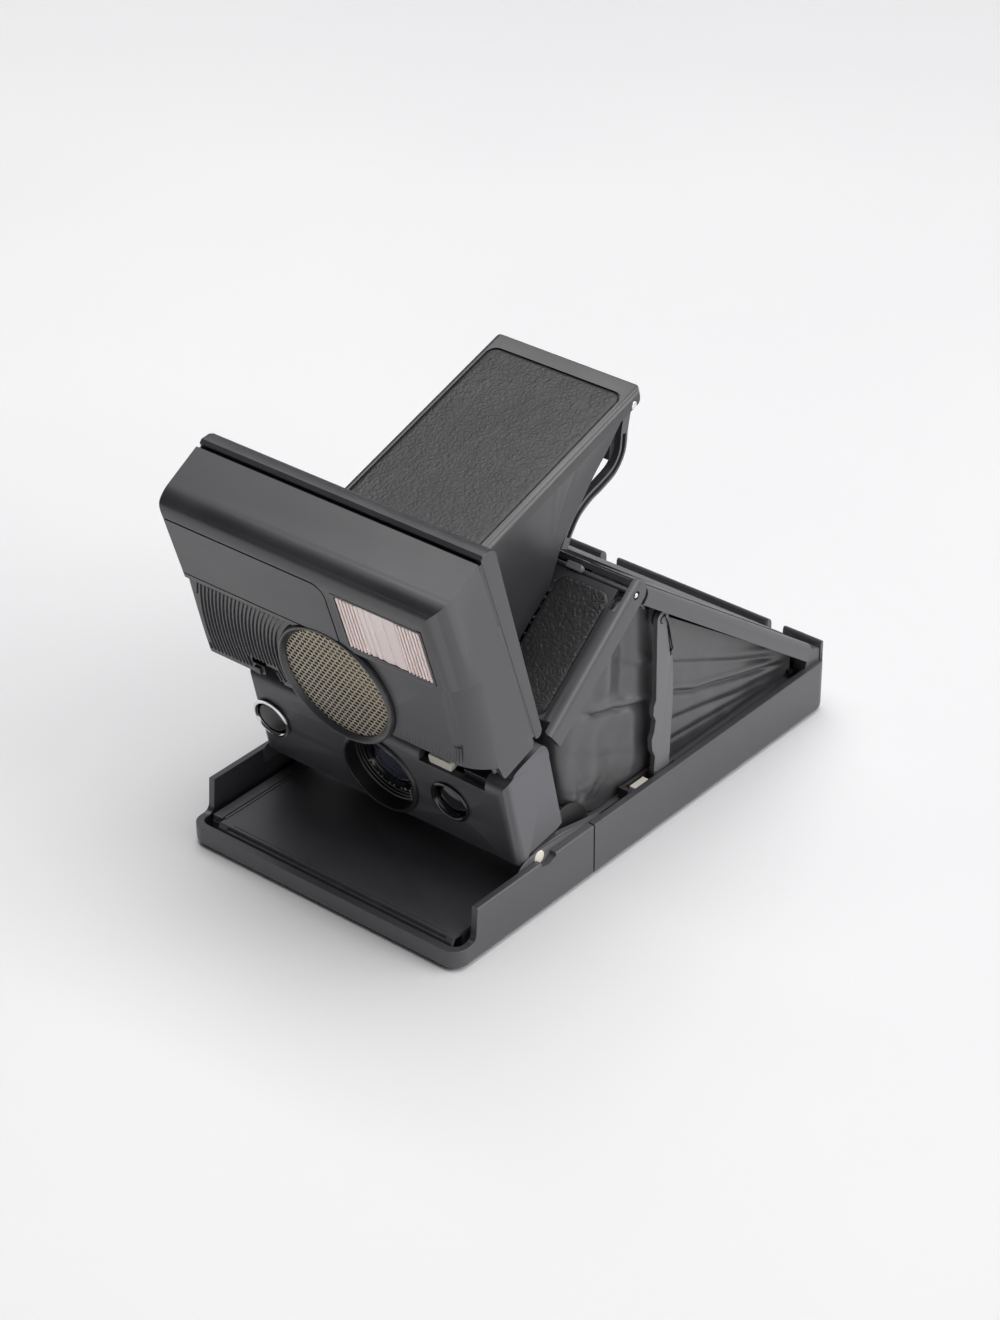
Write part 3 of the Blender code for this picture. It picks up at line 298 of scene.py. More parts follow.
COVER_SLOPE = degrees(atan2(APEX[1] - REAR_HINGE[1], REAR_HINGE[0] - APEX[0]))
REAR = SidePlane(REAR_HINGE, 180 - COVER_SLOPE, -1)
FRONT = SidePlane(APEX, 180 + 39.5, -1)
CAP = SidePlane(CAP_HINGE, 180 + 17.6, -1)
HEAD = SidePlane((10.7, 61.8), 90 + 13.5)
BROW = SidePlane((2.6, 90.0), degrees(atan2(22.8, -7.2)))
SHUTTER = SidePlane((29.6, 21.9), 90 + 12.56)


def bake(ob):
    bpy.context.view_layer.update()
    graph = bpy.context.evaluated_depsgraph_get()
    data = bpy.data.meshes.new_from_object(ob.evaluated_get(graph))
    ob.modifiers.clear()
    ob.data = data
    return ob


def boolean(ob, tool, operation):
    """Change ob in place and use up the tool."""
    modifier = ob.modifiers.new("b", "BOOLEAN")
    modifier.operation = operation
    modifier.solver = "EXACT"
    modifier.object = tool
    bake(ob)
    bpy.data.objects.remove(tool, do_unlink=True)
    return ob


def cut(ob, *tools):
    for tool in tools:
        boolean(ob, tool, "DIFFERENCE")
    return ob


def join(ob, *tools):
    for tool in tools:
        boolean(ob, tool, "UNION")
    return ob


def keep(ob, tool):
    return boolean(ob, tool, "INTERSECT")


def merge(obs):
    """Several loose solids held in one object."""
    mesh = bmesh.new()
    for ob in obs:
        mesh.from_mesh(ob.data)
        bpy.data.objects.remove(ob, do_unlink=True)
    return from_bmesh(mesh, recalc=False)


def tidy(ob):
    """Drop the slivers that booleans leave."""
    sliver = 0.004 * MM
    mesh = bmesh.new()
    mesh.from_mesh(ob.data)
    bmesh.ops.remove_doubles(mesh, verts=mesh.verts, dist=sliver)
    bmesh.ops.dissolve_degenerate(mesh, edges=mesh.edges, dist=sliver)
    mesh.to_mesh(ob.data)
    mesh.free()
    return ob


def bevelled(ob, width, segments=2, angle=34):
    modifier = ob.modifiers.new("bevel", "BEVEL")
    modifier.width = width * MM
    modifier.segments = segments
    modifier.limit_method = "ANGLE"
    modifier.angle_limit = radians(angle)
    modifier.miter_outer = "MITER_ARC"
    return bake(ob)


def thickened(ob, thickness):
    modifier = ob.modifiers.new("thick", "SOLIDIFY")
    modifier.thickness = thickness * MM
    modifier.offset = 0.0
    return bake(ob)


def piece(ob, name, body, material, stands_for=None, sharp=40, weighted=True):
    """Name a piece, shade it, give it its material and hang it on its body."""
    ob.name = name
    ob.data.name = name
    ob.data.materials.clear()
    ob.data.materials.append(MATERIALS[material])
    ob.data.shade_smooth()
    ob.data.set_sharp_from_angle(angle=radians(sharp))
    if weighted:
        modifier = ob.modifiers.new("normals", "WEIGHTED_NORMAL")
        modifier.keep_sharp = True
        modifier.weight = 60
    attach(ob, body)
    if stands_for:
        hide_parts(stands_for)


def pad(plane, across, along, base, top, radius, crown, columns, rows):
    """Padded hide: crowned rounded-corner sheet with its edge turned down."""
    x0, x1 = across
    along0, along1 = along
    edge_width, crown_width, skirt = 0.9, 7.0, 0.35

    def corner_centre(x, up):
        return (min(max(x, x0 + radius), x1 - radius),
                min(max(up, along0 + radius), along1 - radius))

    def pulled(x, up):
        """Pull a grid point in to the rounded corner."""
        centre_x, centre_up = corner_centre(x, up)
        dx, dup = x - centre_x, up - centre_up
        if dx and dup:
            shrink = max(abs(dx), abs(dup)) / hypot(dx, dup)
            dx, dup = dx * shrink, dup * shrink
        return centre_x + dx, centre_up + dup

    mesh = bmesh.new()
    grid = []
    for j in range(rows + 1):
        row = []
        for i in range(columns + 1):
            x, up = pulled(x0 + (x1 - x0) * i / columns, along0 + (along1 - along0) * j / rows)
            inside = min(x - x0, x1 - x, up - along0, along1 - up)
            centre_x, centre_up = corner_centre(x, up)
            if x != centre_x and up != centre_up:
                inside = min(inside, radius - hypot(x - centre_x, up - centre_up))
            inside = max(0.0, inside)
            edge = min(1.0, inside / edge_width)
            swell = noise.noise(Vector((x * 0.05, up * 0.05, 3.0)))
            height = base + (top - base) * sqrt(max(0.0, 1 - (1 - edge) ** 2))
            height += crown * min(1.0, inside / crown_width) * (0.7 + 0.3 * swell)
            height += 0.05 * noise.noise(Vector((x * 0.16, up * 0.16, 9.0))) * edge
            row.append(mesh.verts.new(plane.place(x, up, height)))
        grid.append(row)
    for row, following in zip(grid, grid[1:]):
        for i in range(columns):
            mesh.faces.new((row[i], row[i + 1], following[i + 1], following[i]))
    rim = (grid[0] + [grid[j][columns] for j in range(1, rows + 1)]
           + [grid[rows][i] for i in range(columns - 1, -1, -1)]
           + [grid[j][0] for j in range(rows - 1, 0, -1)])
    drop = -plane.normal() * skirt * MM
    low = [mesh.verts.new(vert.co + drop) for vert in rim]
    for i in range(len(rim)):
        j = (i + 1) % len(rim)
        mesh.faces.new((rim[i], rim[j], low[j], low[i]))
    mesh.faces.new(low[::-1])
    return from_bmesh(mesh)


# ---- shader helpers ----
def wire(tree, node, inputs):
    """Link the inputs given as sockets and set the rest."""
    for key, value in inputs.items():
        if isinstance(value, bpy.types.NodeSocket):
            tree.links.new(value, node.inputs[key])
        else:
            node.inputs[key].default_value = value


def add(tree, kind, inputs=None, **settings):
    node = tree.nodes.new("ShaderNode" + kind)
    for key, value in settings.items():
        setattr(node, key, value)
    wire(tree, node, inputs or {})
    return node


def new_material(name):
    material = bpy.data.materials.new(name)
    material.use_nodes = True
    return material, material.node_tree, material.node_tree.nodes["Principled BSDF"]


def coords(tree, scale=(1, 1, 1), turn=0.0):
    where = add(tree, "TexCoord").outputs["Object"]
    inputs = {"Scale": scale, "Rotation": (0, 0, turn), "Vector": where}
    return add(tree, "Mapping", inputs).outputs["Vector"]


def noise_tex(tree, where, scale, detail, rough, distortion=0.0):
    inputs = {"Scale": scale, "Detail": detail, "Roughness": rough,
              "Distortion": distortion, "Vector": where}
    return add(tree, "TexNoise", inputs).outputs["Fac"]


def ramp(tree, value, stops):
    node = add(tree, "ValToRGB", {"Fac": value})
    elements = node.color_ramp.elements
    while len(elements) < len(stops):
        elements.new(0.5)
    for element, (position, rgb) in zip(elements, stops):
        element.position = position
        element.color = (*rgb, 1)
    return node.outputs["Color"]


def shade(rgb, factor):
    return tuple(channel * factor for channel in rgb)


def mottled(tree, value, rgb, low, high):
    """Colour that wanders between two multiples of rgb."""
    return ramp(tree, value, [(0.3, shade(rgb, low)), (0.7, shade(rgb, high))])


def remap(tree, value, low, high, start=0.3, end=0.7):
    inputs = {"From Min": start, "From Max": end, "To Min": low, "To Max": high, "Value": value}
    return add(tree, "MapRange", inputs).outputs["Result"]


def calc(tree, operation, *values):
    return add(tree, "Math", dict(enumerate(values)), operation=operation).outputs[0]


def bump(tree, height, strength, depth, normal=None):
    """Bump of the given depth in millimetres, over an earlier normal if there is one."""
    inputs = {"Strength": strength, "Distance": depth * MM, "Height": height}
    if normal is not None:
        inputs["Normal"] = normal
    return add(tree, "Bump", inputs).outputs["Normal"]


def mix(tree, factor, first, second, mode="MIX"):
    second = (*second, 1) if isinstance(second, tuple) else second
    # sockets 0, 6 and 7 are the factor and the two colours
    inputs = {0: factor, 6: first, 7: second}
    return add(tree, "Mix", inputs, data_type="RGBA", blend_type=mode).outputs[2]


def pointiness(tree):
    return add(tree, "NewGeometry").outputs["Pointiness"]


# ---- materials ----
def plastic(name, rgb, rough, grain, wear, variation):
    """Moulded plastic: fine spark texture, slight mottling, edges rubbed a little lighter."""
    material, tree, shader = new_material(name)
    where = coords(tree)
    mottle = noise_tex(tree, where, scale=28, detail=4, rough=0.6)
    colour = mottled(tree, mottle, rgb, low=1 - variation, high=1 + variation)
    edge = remap(tree, pointiness(tree), low=0.0, high=1.0, start=0.53, end=0.62)
    rubbed = tuple(min(1, channel * 2.2 + 0.012) for channel in rgb)
    wire(tree, shader, {
        "Base Color": mix(tree, calc(tree, "MULTIPLY", edge, wear), colour, rubbed),
        "Roughness": remap(tree, mottle, low=rough - 0.05, high=rough + 0.06),
        "Specular IOR Level": 1.0,
    })
    if grain:
        spark = noise_tex(tree, where, scale=1500, detail=2, rough=0.5)
        wire(tree, shader, {"Normal": bump(tree, spark, strength=grain, depth=0.03)})
    return material


def leather(name, rgb, grain, turn=0.0):
    """Grained hide: wandering wrinkles over fine pebbling, with patches of varied gloss."""
    material, tree, shader = new_material(name)
    where = coords(tree, turn=turn)
    warp = add(tree, "TexNoise", {"Scale": 260, "Detail": 2, "Vector": where})
    warped = add(tree, "VectorMath", {0: warp.outputs["Color"], 1: (0.0016,) * 3, 2: where},
                 operation="MULTIPLY_ADD").outputs[0]
    pebble = add(tree, "TexVoronoi", {"Scale": 640, "Vector": warped},
                 feature="DISTANCE_TO_EDGE").outputs["Distance"]
    cells = remap(tree, pebble, low=0, high=1, start=0.0, end=0.28)
    stretched = add(tree, "Mapping", {"Scale": (1.0, 0.75, 0.8), "Vector": warped})
    wrinkle = noise_tex(tree, stretched.outputs["Vector"], scale=430, detail=3, rough=0.6,
                        distortion=0.9)
    patches = noise_tex(tree, where, scale=34, detail=3, rough=0.55)
    pores = noise_tex(tree, where, scale=3000, detail=2, rough=0.5)
    colour = mottled(tree, patches, rgb, low=0.75, high=1.25)
    valleys = remap(tree, cells, low=0.35, high=0.0, start=0.0, end=0.6)
    normal = bump(tree, cells, strength=grain * 0.55, depth=0.12)
    normal = bump(tree, wrinkle, strength=grain, depth=0.26, normal=normal)
    wire(tree, shader, {
        "Base Color": mix(tree, valleys, colour, shade(rgb, 0.5)),
        "Roughness": remap(tree, patches, low=0.36, high=0.50),
        "Specular IOR Level": 0.6,
        "Normal": bump(tree, pores, strength=0.25, depth=0.03, normal=normal),
    })
    return material


def rubber(name, rgb):
    """Moulded bellows rubber: dusty bloom, soft mottling and fine pores."""
    material, tree, shader = new_material(name)
    where = coords(tree)
    mottle = noise_tex(tree, where, scale=30, detail=4, rough=0.55)
    bloom = noise_tex(tree, where, scale=150, detail=3, rough=0.5, distortion=0.2)
    pores = noise_tex(tree, where, scale=2200, detail=2, rough=0.5)
    colour = mottled(tree, mottle, rgb, low=0.82, high=1.2)
    dust = ramp(tree, bloom, [(0.45, (0, 0, 0)), (0.85, (0.5, 0.5, 0.5))])
    colour = mix(tree, 0.05, colour, dust, mode="SCREEN")
    edge = remap(tree, pointiness(tree), low=0.0, high=0.5, start=0.515, end=0.60)
    wire(tree, shader, {
        "Base Color": mix(tree, edge, colour, shade(rgb, 2.0)),
        "Roughness": remap(tree, bloom, low=0.32, high=0.41),
        "Specular IOR Level": 1.0,
        "Normal": bump(tree, pores, strength=0.25, depth=0.03),
    })
    return material


def metal(name, rgb, rough, brushed=False):
    material, tree, shader = new_material(name)
    where = coords(tree, (1, 14, 14) if brushed else (1, 1, 1))
    mottle = noise_tex(tree, where, scale=420, detail=3, rough=0.6)
    wire(tree, shader, {
        "Base Color": mottled(tree, mottle, rgb, low=0.85, high=1.08),
        "Roughness": remap(tree, mottle, low=rough * 0.8, high=rough * 1.3),
        "Metallic": 1.0,
    })
    return material


def gold_foil():
    """Thin gold foil with painted light across its face: shaded brown low down and to the left,
    grading through dull gold to a bright gold highlight up and to the right.
    """
    material, tree, shader = new_material("gold_foil")
    where = coords(tree)
    axes = add(tree, "SeparateXYZ", {0: where}).outputs
    # painted shade and highlight: the colour turns from brown to bright gold along a slant that
    # rises to the upper right
    slant = calc(tree, "MULTIPLY_ADD", axes["X"], 0.55, axes["Z"])
    wobble = noise_tex(tree, where, scale=90, detail=2, rough=0.5)
    wavy = calc(tree, "MULTIPLY_ADD", wobble, 0.006, slant)
    painted_light_grade = remap(tree, wavy, low=0, high=1, start=0.073, end=0.083)
    brown, dull_gold, gold = (0.055, 0.035, 0.022), (0.20, 0.13, 0.05), (0.66, 0.47, 0.17)
    wire(tree, shader, {
        "Base Color": ramp(tree, painted_light_grade, [(0.0, brown), (0.45, dull_gold), (1.0, gold)]),
        "Metallic": 0.85,
        "Roughness": remap(tree, wobble, low=0.28, high=0.42),
        "Normal": bump(tree, wobble, strength=0.5, depth=0.3),
    })
    return material


def clear(name, rgb, rough, transmission, ior, coat, tint=(1, 1, 1)):
    material, tree, shader = new_material(name)
    mottle = noise_tex(tree, coords(tree), scale=60, detail=3, rough=0.5)
    wire(tree, shader, {
        "Base Color": mottled(tree, mottle, rgb, low=0.93, high=1.0),
        "Roughness": remap(tree, mottle, low=rough, high=rough * 1.5 + 0.01),
        "Transmission Weight": transmission,
        "IOR": ior,
        "Coat Weight": coat,
        "Coat Roughness": 0.03,
        "Specular Tint": (*tint, 1),
    })
    return material


# name, colour, roughness, grain strength, edge wear, colour variation
PLASTICS = {
    "charcoal": ("charcoal_plastic", (0.046, 0.0445, 0.0505), 0.40, 0.22, 0.5, 0.16),
    "head": ("head_plastic", (0.029, 0.0281, 0.0322), 0.37, 0.22, 0.5, 0.16),
    "cover": ("cover_plastic", (0.031, 0.030, 0.0345), 0.34, 0.15, 0.5, 0.16),
    "rear": ("rear_cover_plastic", (0.042, 0.041, 0.046), 0.40, 0.25, 0.6, 0.16),
    "cap": ("cap_plastic", (0.012, 0.0118, 0.0137), 0.36, 0.15, 0.6, 0.16),
    "black": ("black_plastic", (0.008, 0.008, 0.009), 0.42, 0.25, 0.35, 0.16),
    "gloss": ("gloss_black", (0.006, 0.006, 0.007), 0.16, 0.0, 0.2, 0.16),
    "floor_plate": ("door_plate_plastic", (0.058, 0.0565, 0.064), 0.42, 0.25, 0.3, 0.16),
    "shield": ("shield_plastic", (0.024, 0.0232, 0.027), 0.32, 0.08, 0.4, 0.2),
    "strut": ("support_plastic", (0.100, 0.098, 0.106), 0.42, 0.25, 0.5, 0.16),
    "link": ("chassis_paint", (0.085, 0.083, 0.089), 0.36, 0.15, 0.6, 0.16),
    "cream": ("cream_plastic", (0.70, 0.66, 0.56), 0.38, 0.12, 0.1, 0.05),
    "mark": ("mark_paint", (0.55, 0.55, 0.55), 0.5, 0.0, 0.0, 0.1),
    "mark_dim": ("stake_plastic", (0.06, 0.06, 0.062), 0.5, 0.0, 0.0, 0.1),
    "white": ("white_card", (0.74, 0.73, 0.70), 0.5, 0.15, 0.0, 0.03),
    "film": ("film_card", (0.60, 0.61, 0.60), 0.5, 0.1, 0.0, 0.03),
}
# name, colour, roughness, brushed
METALS = {
    "chrome": ("chrome", (0.82, 0.82, 0.83), 0.08),
    "steel": ("steel", (0.58, 0.58, 0.58), 0.28, True),
    "mesh": ("mesh_paint", (0.36, 0.325, 0.265), 0.36),
    "silver": ("silvered", (0.86, 0.86, 0.86), 0.08),
    "mirror": ("mirror", (0.86, 0.87, 0.88), 0.02),
}
# name, colour, roughness, transmission, index of refraction, coat, specular tint
CLEARS = {
    "lens": ("coated_lens", (0.10, 0.11, 0.16), 0.02, 0.55, 1.6, 1.0, (0.7, 0.75, 1.0)),
    "eye": ("dark_glass", (0.02, 0.02, 0.025), 0.04, 0.1, 1.5, 1.0),
    "flash": ("flash_lens", (0.95, 0.745, 0.70), 0.12, 0.25, 1.49, 0.5),
    "tube": ("tube_glass", (0.92, 0.94, 0.96), 0.03, 0.85, 1.5, 0.5),
}
MATERIALS = {
    "leather": leather("grained_leather", (0.013, 0.013, 0.0145), grain=0.75),
    "leather_front": leather("grained_leather_front", (0.015, 0.015, 0.0165), grain=0.95,
                             turn=0.5),
    "rubber": rubber("bellows_rubber", (0.044, 0.0435, 0.0465)),
    "foil": gold_foil(),
}
for make, table in ((plastic, PLASTICS), (metal, METALS), (clear, CLEARS)):
    for key, values in table.items():
        MATERIALS[key] = make(*values)

# every CAD node gets a finished material; the pieces below replace the visible ones
CAD_PARTS = {
    "charcoal": "base_tray film_door_shell shutter_housing_shell",
    "link": "chassis_frame",
    "black": "film_pack roller_gear transfer_gear mirror_carrier apex_hinge_rod viewfinder_arm"
             " shutter_rear_plate lens_bezel electric_eye_bezel focus_wheel shutter_blade_left"
             " shutter_blade_right lens_barrel sonar_ring focus_switch",
    "film": "film_stack",
    "steel": "drive_motor tripod_bush rear_hinge_rod roller_bracket upper_roller lower_roller"
             " drive_pinion pick_arm viewfinder_hinge_rod head_hinge_rod",
    "cream": "shutter_hinge_rod door_latch exposure_slider",
    "rubber": "bellows",
    "floor_plate": "door_plate",
    "white": "counter_dial",
    "mirror": "taking_mirror fixed_mirror",
    "tube": "fresnel_screen flash_tube",
    "rear": "rear_cover rear_cover_panel",
    "cover": "front_cover head_rear_cover",
    "leather_front": "front_pad_left front_pad_right",
    "shield": "viewfinder_shield",
    "lens": "eyepiece_lens front_lens",
    "cap": "viewfinder_cap",
    "leather": "viewfinder_pad",
    "strut": "cover_support",
    "eye": "electric_eye_lens",
    "chrome": "button_ring",
    "gloss": "shutter_button flash_capacitor",
    "head": "head_front_shell",
    "mesh": "sonar_grille",
    "flash": "flash_window",
    "silver": "flash_reflector",
}
material_of = {part: key for key, parts in CAD_PARTS.items() for part in parts.split()}
for part, ob in NODES.items():
    ob.data.materials.clear()
    ob.data.materials.append(MATERIALS[material_of[part]])


# ---- base tray and film door ----
def tub_outline(inset, y0, y1, front):
    """Plan of the film door (front) or the tray, rounded at its free end."""
    x = HALF_WIDTH - inset
    radius = max(5 - inset, 0.6)
    if front:
        y = y0 + inset + radius
        return (arc(x - radius, y, radius, -90, 0, 8) + [(x, y1), (-x, y1)]
                + arc(-x + radius, y, radius, 180, 270, 8))
    return [(x, y0)] + shoulders(x - radius, y1 - inset - radius, radius) + [(-x, y0)]


def tub(y0, y1, front):
    # (inset, z): rounded underside, then a straight wall with an eased lip
    levels = [(1.9, 0.0), (0.9, 0.35), (0.35, 0.85), (0.08, 1.5), (0.0, 2.3),
              (0.0, WALL_TOP - 0.5), (0.14, WALL_TOP - 0.15), (0.45, WALL_TOP)]
    return loft([[place(x, y, z) for x, y in tub_outline(inset, y0, y1, front)]
                 for inset, z in levels])


TRAY_RIM = tub_outline(0.02, 100.0, BODY_LEN, False)


def back_edge(x):
    """y where the rounded rear of the tray ends at x, or 0 outside it."""
    hits = [y0 + (y1 - y0) * (x - x0) / (x1 - x0)
            for (x0, y0), (x1, y1) in zip(TRAY_RIM, TRAY_RIM[1:] + TRAY_RIM[:1])
            if abs(x1 - x0) > 1e-9 and (x0 - x) * (x1 - x) <= 0]
    return max(hits + [0.0])


def tray():
    shell = tub(61.2, BODY_LEN, False)
    hollow = tub_outline(WALL, 50.0, BODY_LEN - 0.3, False)
    cut(shell, plan_prism(hollow, 1.6, WALL_TOP + 4))
    lug = ([(173.4, 13), (173.4, 23.2)] + arc(174.3, 23.1, 0.9, 180, 90, 4)
           + arc(173.6, 21.1, 2.9, 88, 10, 8) + [(BODY_LEN + 0.6, 19.4), (BODY_LEN + 0.6, 13)])
    join(shell, keep(side_prism(lug, -29.2, 29.2), plan_prism(TRAY_RIM, 10, 30)))
    # the outer lugs follow the rounded rear corners, section by section
    stations = (35.6, 40.0, 43.0, 45.0, 46.5, 47.6, 48.5, 49.2, 49.8, 50.3)
    stations = [x for x in stations if back_edge(x) > 174]
    for side in SIDES:
        join(shell, loft([[place(side * x, min(y, back_edge(x)), z) for y, z in lug]
                          for x in stations[::side]]))
    ear = [(165.5, 1), (173.2, 1), (173.2, 22)] + arc(170, 20.2, 3, 35, 150) + [(165.5, 17)]
    for side in SIDES:
        join(shell, side_prism(ear, *span(side, 45.3, 49.5)))
        cut(shell, rod(REAR_HINGE, *span(side, 44, 48.9), 1.5),
            rod((163.5, 16.6), *span(side, 44, 47), 1.1, 16))
    # round hole in the floor and oval hole in the rear wall
    cut(shell, plan_prism(circle(0, 96, 6, 40), -2, 4))
    cut(shell, loft([oval(-22, y, 13.6, 3, 2.2, 32) for y in (171.6, 180)]))
    # a ledge along each inner wall
    for side in SIDES:
        join(shell, box(*span(side, 46.9, 49), 103, 160, 14.2, 16.4))
    piece(bevelled(tidy(shell), 0.28, angle=40), "tray_shell", "base", "charcoal",
          "base_tray")


def film_door():
    shell = tub(0, 60.7, True)
    cut(shell, plan_prism(tub_outline(WALL, 0.4, 70, True), 1.6, WALL_TOP + 4))
    low_front = ([(-3, 25), (-3, 6.7), (6, 6.7)] + bezier((6, 6.7), (8.5, 6.8), (8.6, 9.4))
                 + [(9.2, 17.2), (9.3, 25)])
    cut(shell, side_prism(low_front, -60, 60))
    rear_edge = [(59.8, -1), (62, -1), (62, 1.2), (60.7, 1.2), (59.8, 0)]
    cut(shell, side_prism(rear_edge, -60, 60))
    notch = [(37.3, 16), (40.9, 15.4), (43.4, 16.4), (43.8, 19), (37, 19)]
    for side in SIDES:
        cut(shell, side_prism(notch, *span(side, 47, 53)))
    piece(bevelled(tidy(shell), 0.35, 3, 40), "door_shell", "film_door", "charcoal",
          "film_door_shell")


def door_plate():
    """Plate with raised side rails and a slot along its front edge."""
    plate = box(-42.3, 46.2, 4.3, 49.6, 7.3, 8.2)
    nose = [(4.3, 8.2), (3.5, 7.3), (3.2, 6.2), (3.2, 5.4), (4.1, 5.4), (5.2, 7.4)]
    join(plate, side_prism(nose, -42.3, 46.2))
    cut(plate, box(-39, 44, 2, 4.15, 6.9, 9))
    join(plate, box(-46.3, -42.6, 5.2, 48, 1.9, 6.6), box(42.6, 46.3, 8, 48, 1.9, 7.6))
    join(plate, box(-46.3, -43, 5.6, 47.6, 6.4, 8.55), box(-42.6, -41.9, 6.4, 47.6, 7, 8.5))
    join(plate, box(-38, 43, 5.3, 5.7, 8, 8.42))
    piece(bevelled(tidy(plate), 0.18, angle=40), "door_floor_plate", "film_door", "floor_plate",
          "door_plate")
    lip = box(-38.5, 44, 2.3, 3, 3, 6)
    cut(lip, box(-30, -8, 2, 3.5, 4.6, 5.4))
    piece(bevelled(tidy(lip), 0.15, angle=40), "exit_slot_lip", "film_door", "black")


# ---- chassis, rivets and latch ----
def chassis():
    rails = box(-46, 46, 64.8, 162, 13, 15)
    cut(rails, box(-43.5, 43.5, 68, 158.5, 10, 18))
    for side in SIDES:
        join(rails, box(*span(side, 45, 48), 64.8, 67.5, 13, 15))
    arm_outline = [(35.4, 17)] + arc(38.2, 17.6, 2.8, 170, 80) + [
        (44, 20.4), (50.5, 20.1), (56, 18.9), (67.5, 16.6), (67.5, 12.4), (40, 12.4),
        (36.5, 14.4)]
    ridge = [(45.6, 18.6), (52, 18.1), (52, 18.9), (45.6, 19.4)]
    for side in SIDES:
        arm = side_prism(arm_outline, *span(side, 46.6, 48.4))
        cut(arm, rod(SHUTTER_HINGE, *span(side, 45.9, 48.9), 1.4))
        join(arm, side_prism(ridge, *span(side, 48.2, 48.7)))
        join(rails, arm)
    piece(bevelled(tidy(rails), 0.2, angle=40), "chassis_rails", "base", "link",
          "chassis_frame")


def rivets():
    pin = rod(SHUTTER_HINGE, -48.7, 48.7, 1.15)
    for side in SIDES:
        button = rod(SHUTTER_HINGE, 0, 0.2, 2.1, 32, dome=0.35)
        for vert in button.data.vertices:
            vert.co.x = side * (0.04875 + vert.co.x)
        if side < 0:
            button.data.flip_normals()
        join(pin, join(rod(SHUTTER_HINGE, *span(side, 48.4, 48.9), 1.3), button))
    piece(pin, "rivets", "base", "cream", "shutter_hinge_rod")


def links():
    """Thin outer links above the wall, a spring clip and the cover beside it."""
    link = smooth_line([(30.2, 13), (29.8, 16.4), (30.6, 18.3), (34.7, 19.9), (40, 20.1),
                        (49.7, 19.3), (57, 18.2), (64.9, 16.2), (66, 13)], 5)
    for side, name in ((-1, "link_l"), (1, "link_r")):
        solid = side_prism(link, *span(side, 48.42, 48.76))
        piece(bevelled(solid, 0.08), name, "base", "link")
    clip = side_prism([(48.9, 17.6), (49.5, 17.6), (50.4, 22.4), (49.8, 22.6)], 45, 46.2)
    piece(bevelled(clip, 0.08), "link_clip", "base", "steel")
    gear_cover = smooth_line([(49.6, 12), (49.4, 20.6), (51.6, 23.2), (56.4, 24), (60.8, 22.6),
                              (64.4, 19.4), (66.2, 15)])
    piece(bevelled(side_prism(gear_cover, 43.75, 44.35), 0.12), "gear_cover", "base", "black")


def latch():
    tab = box(46.3, 48.45, 83, 89.4, 14.8, 17.5)
    join(tab, box(47.3, 48.45, 81, 91.3, 11, 15.2))
    piece(bevelled(tidy(tab), 0.3, 3, 40), "latch_tab", "door_latch", "cream",
          "door_latch")
    bracket = box(45.2, 48.75, 79.2, 80.8, 11, 18.6)
    join(bracket, box(45.2, 45.9, 79.4, 92.6, 11, 18.3), box(45.2, 48.75, 91.6, 93, 11, 18.2))
    piece(bevelled(tidy(bracket), 0.2, angle=40), "latch_bracket", "base", "black")


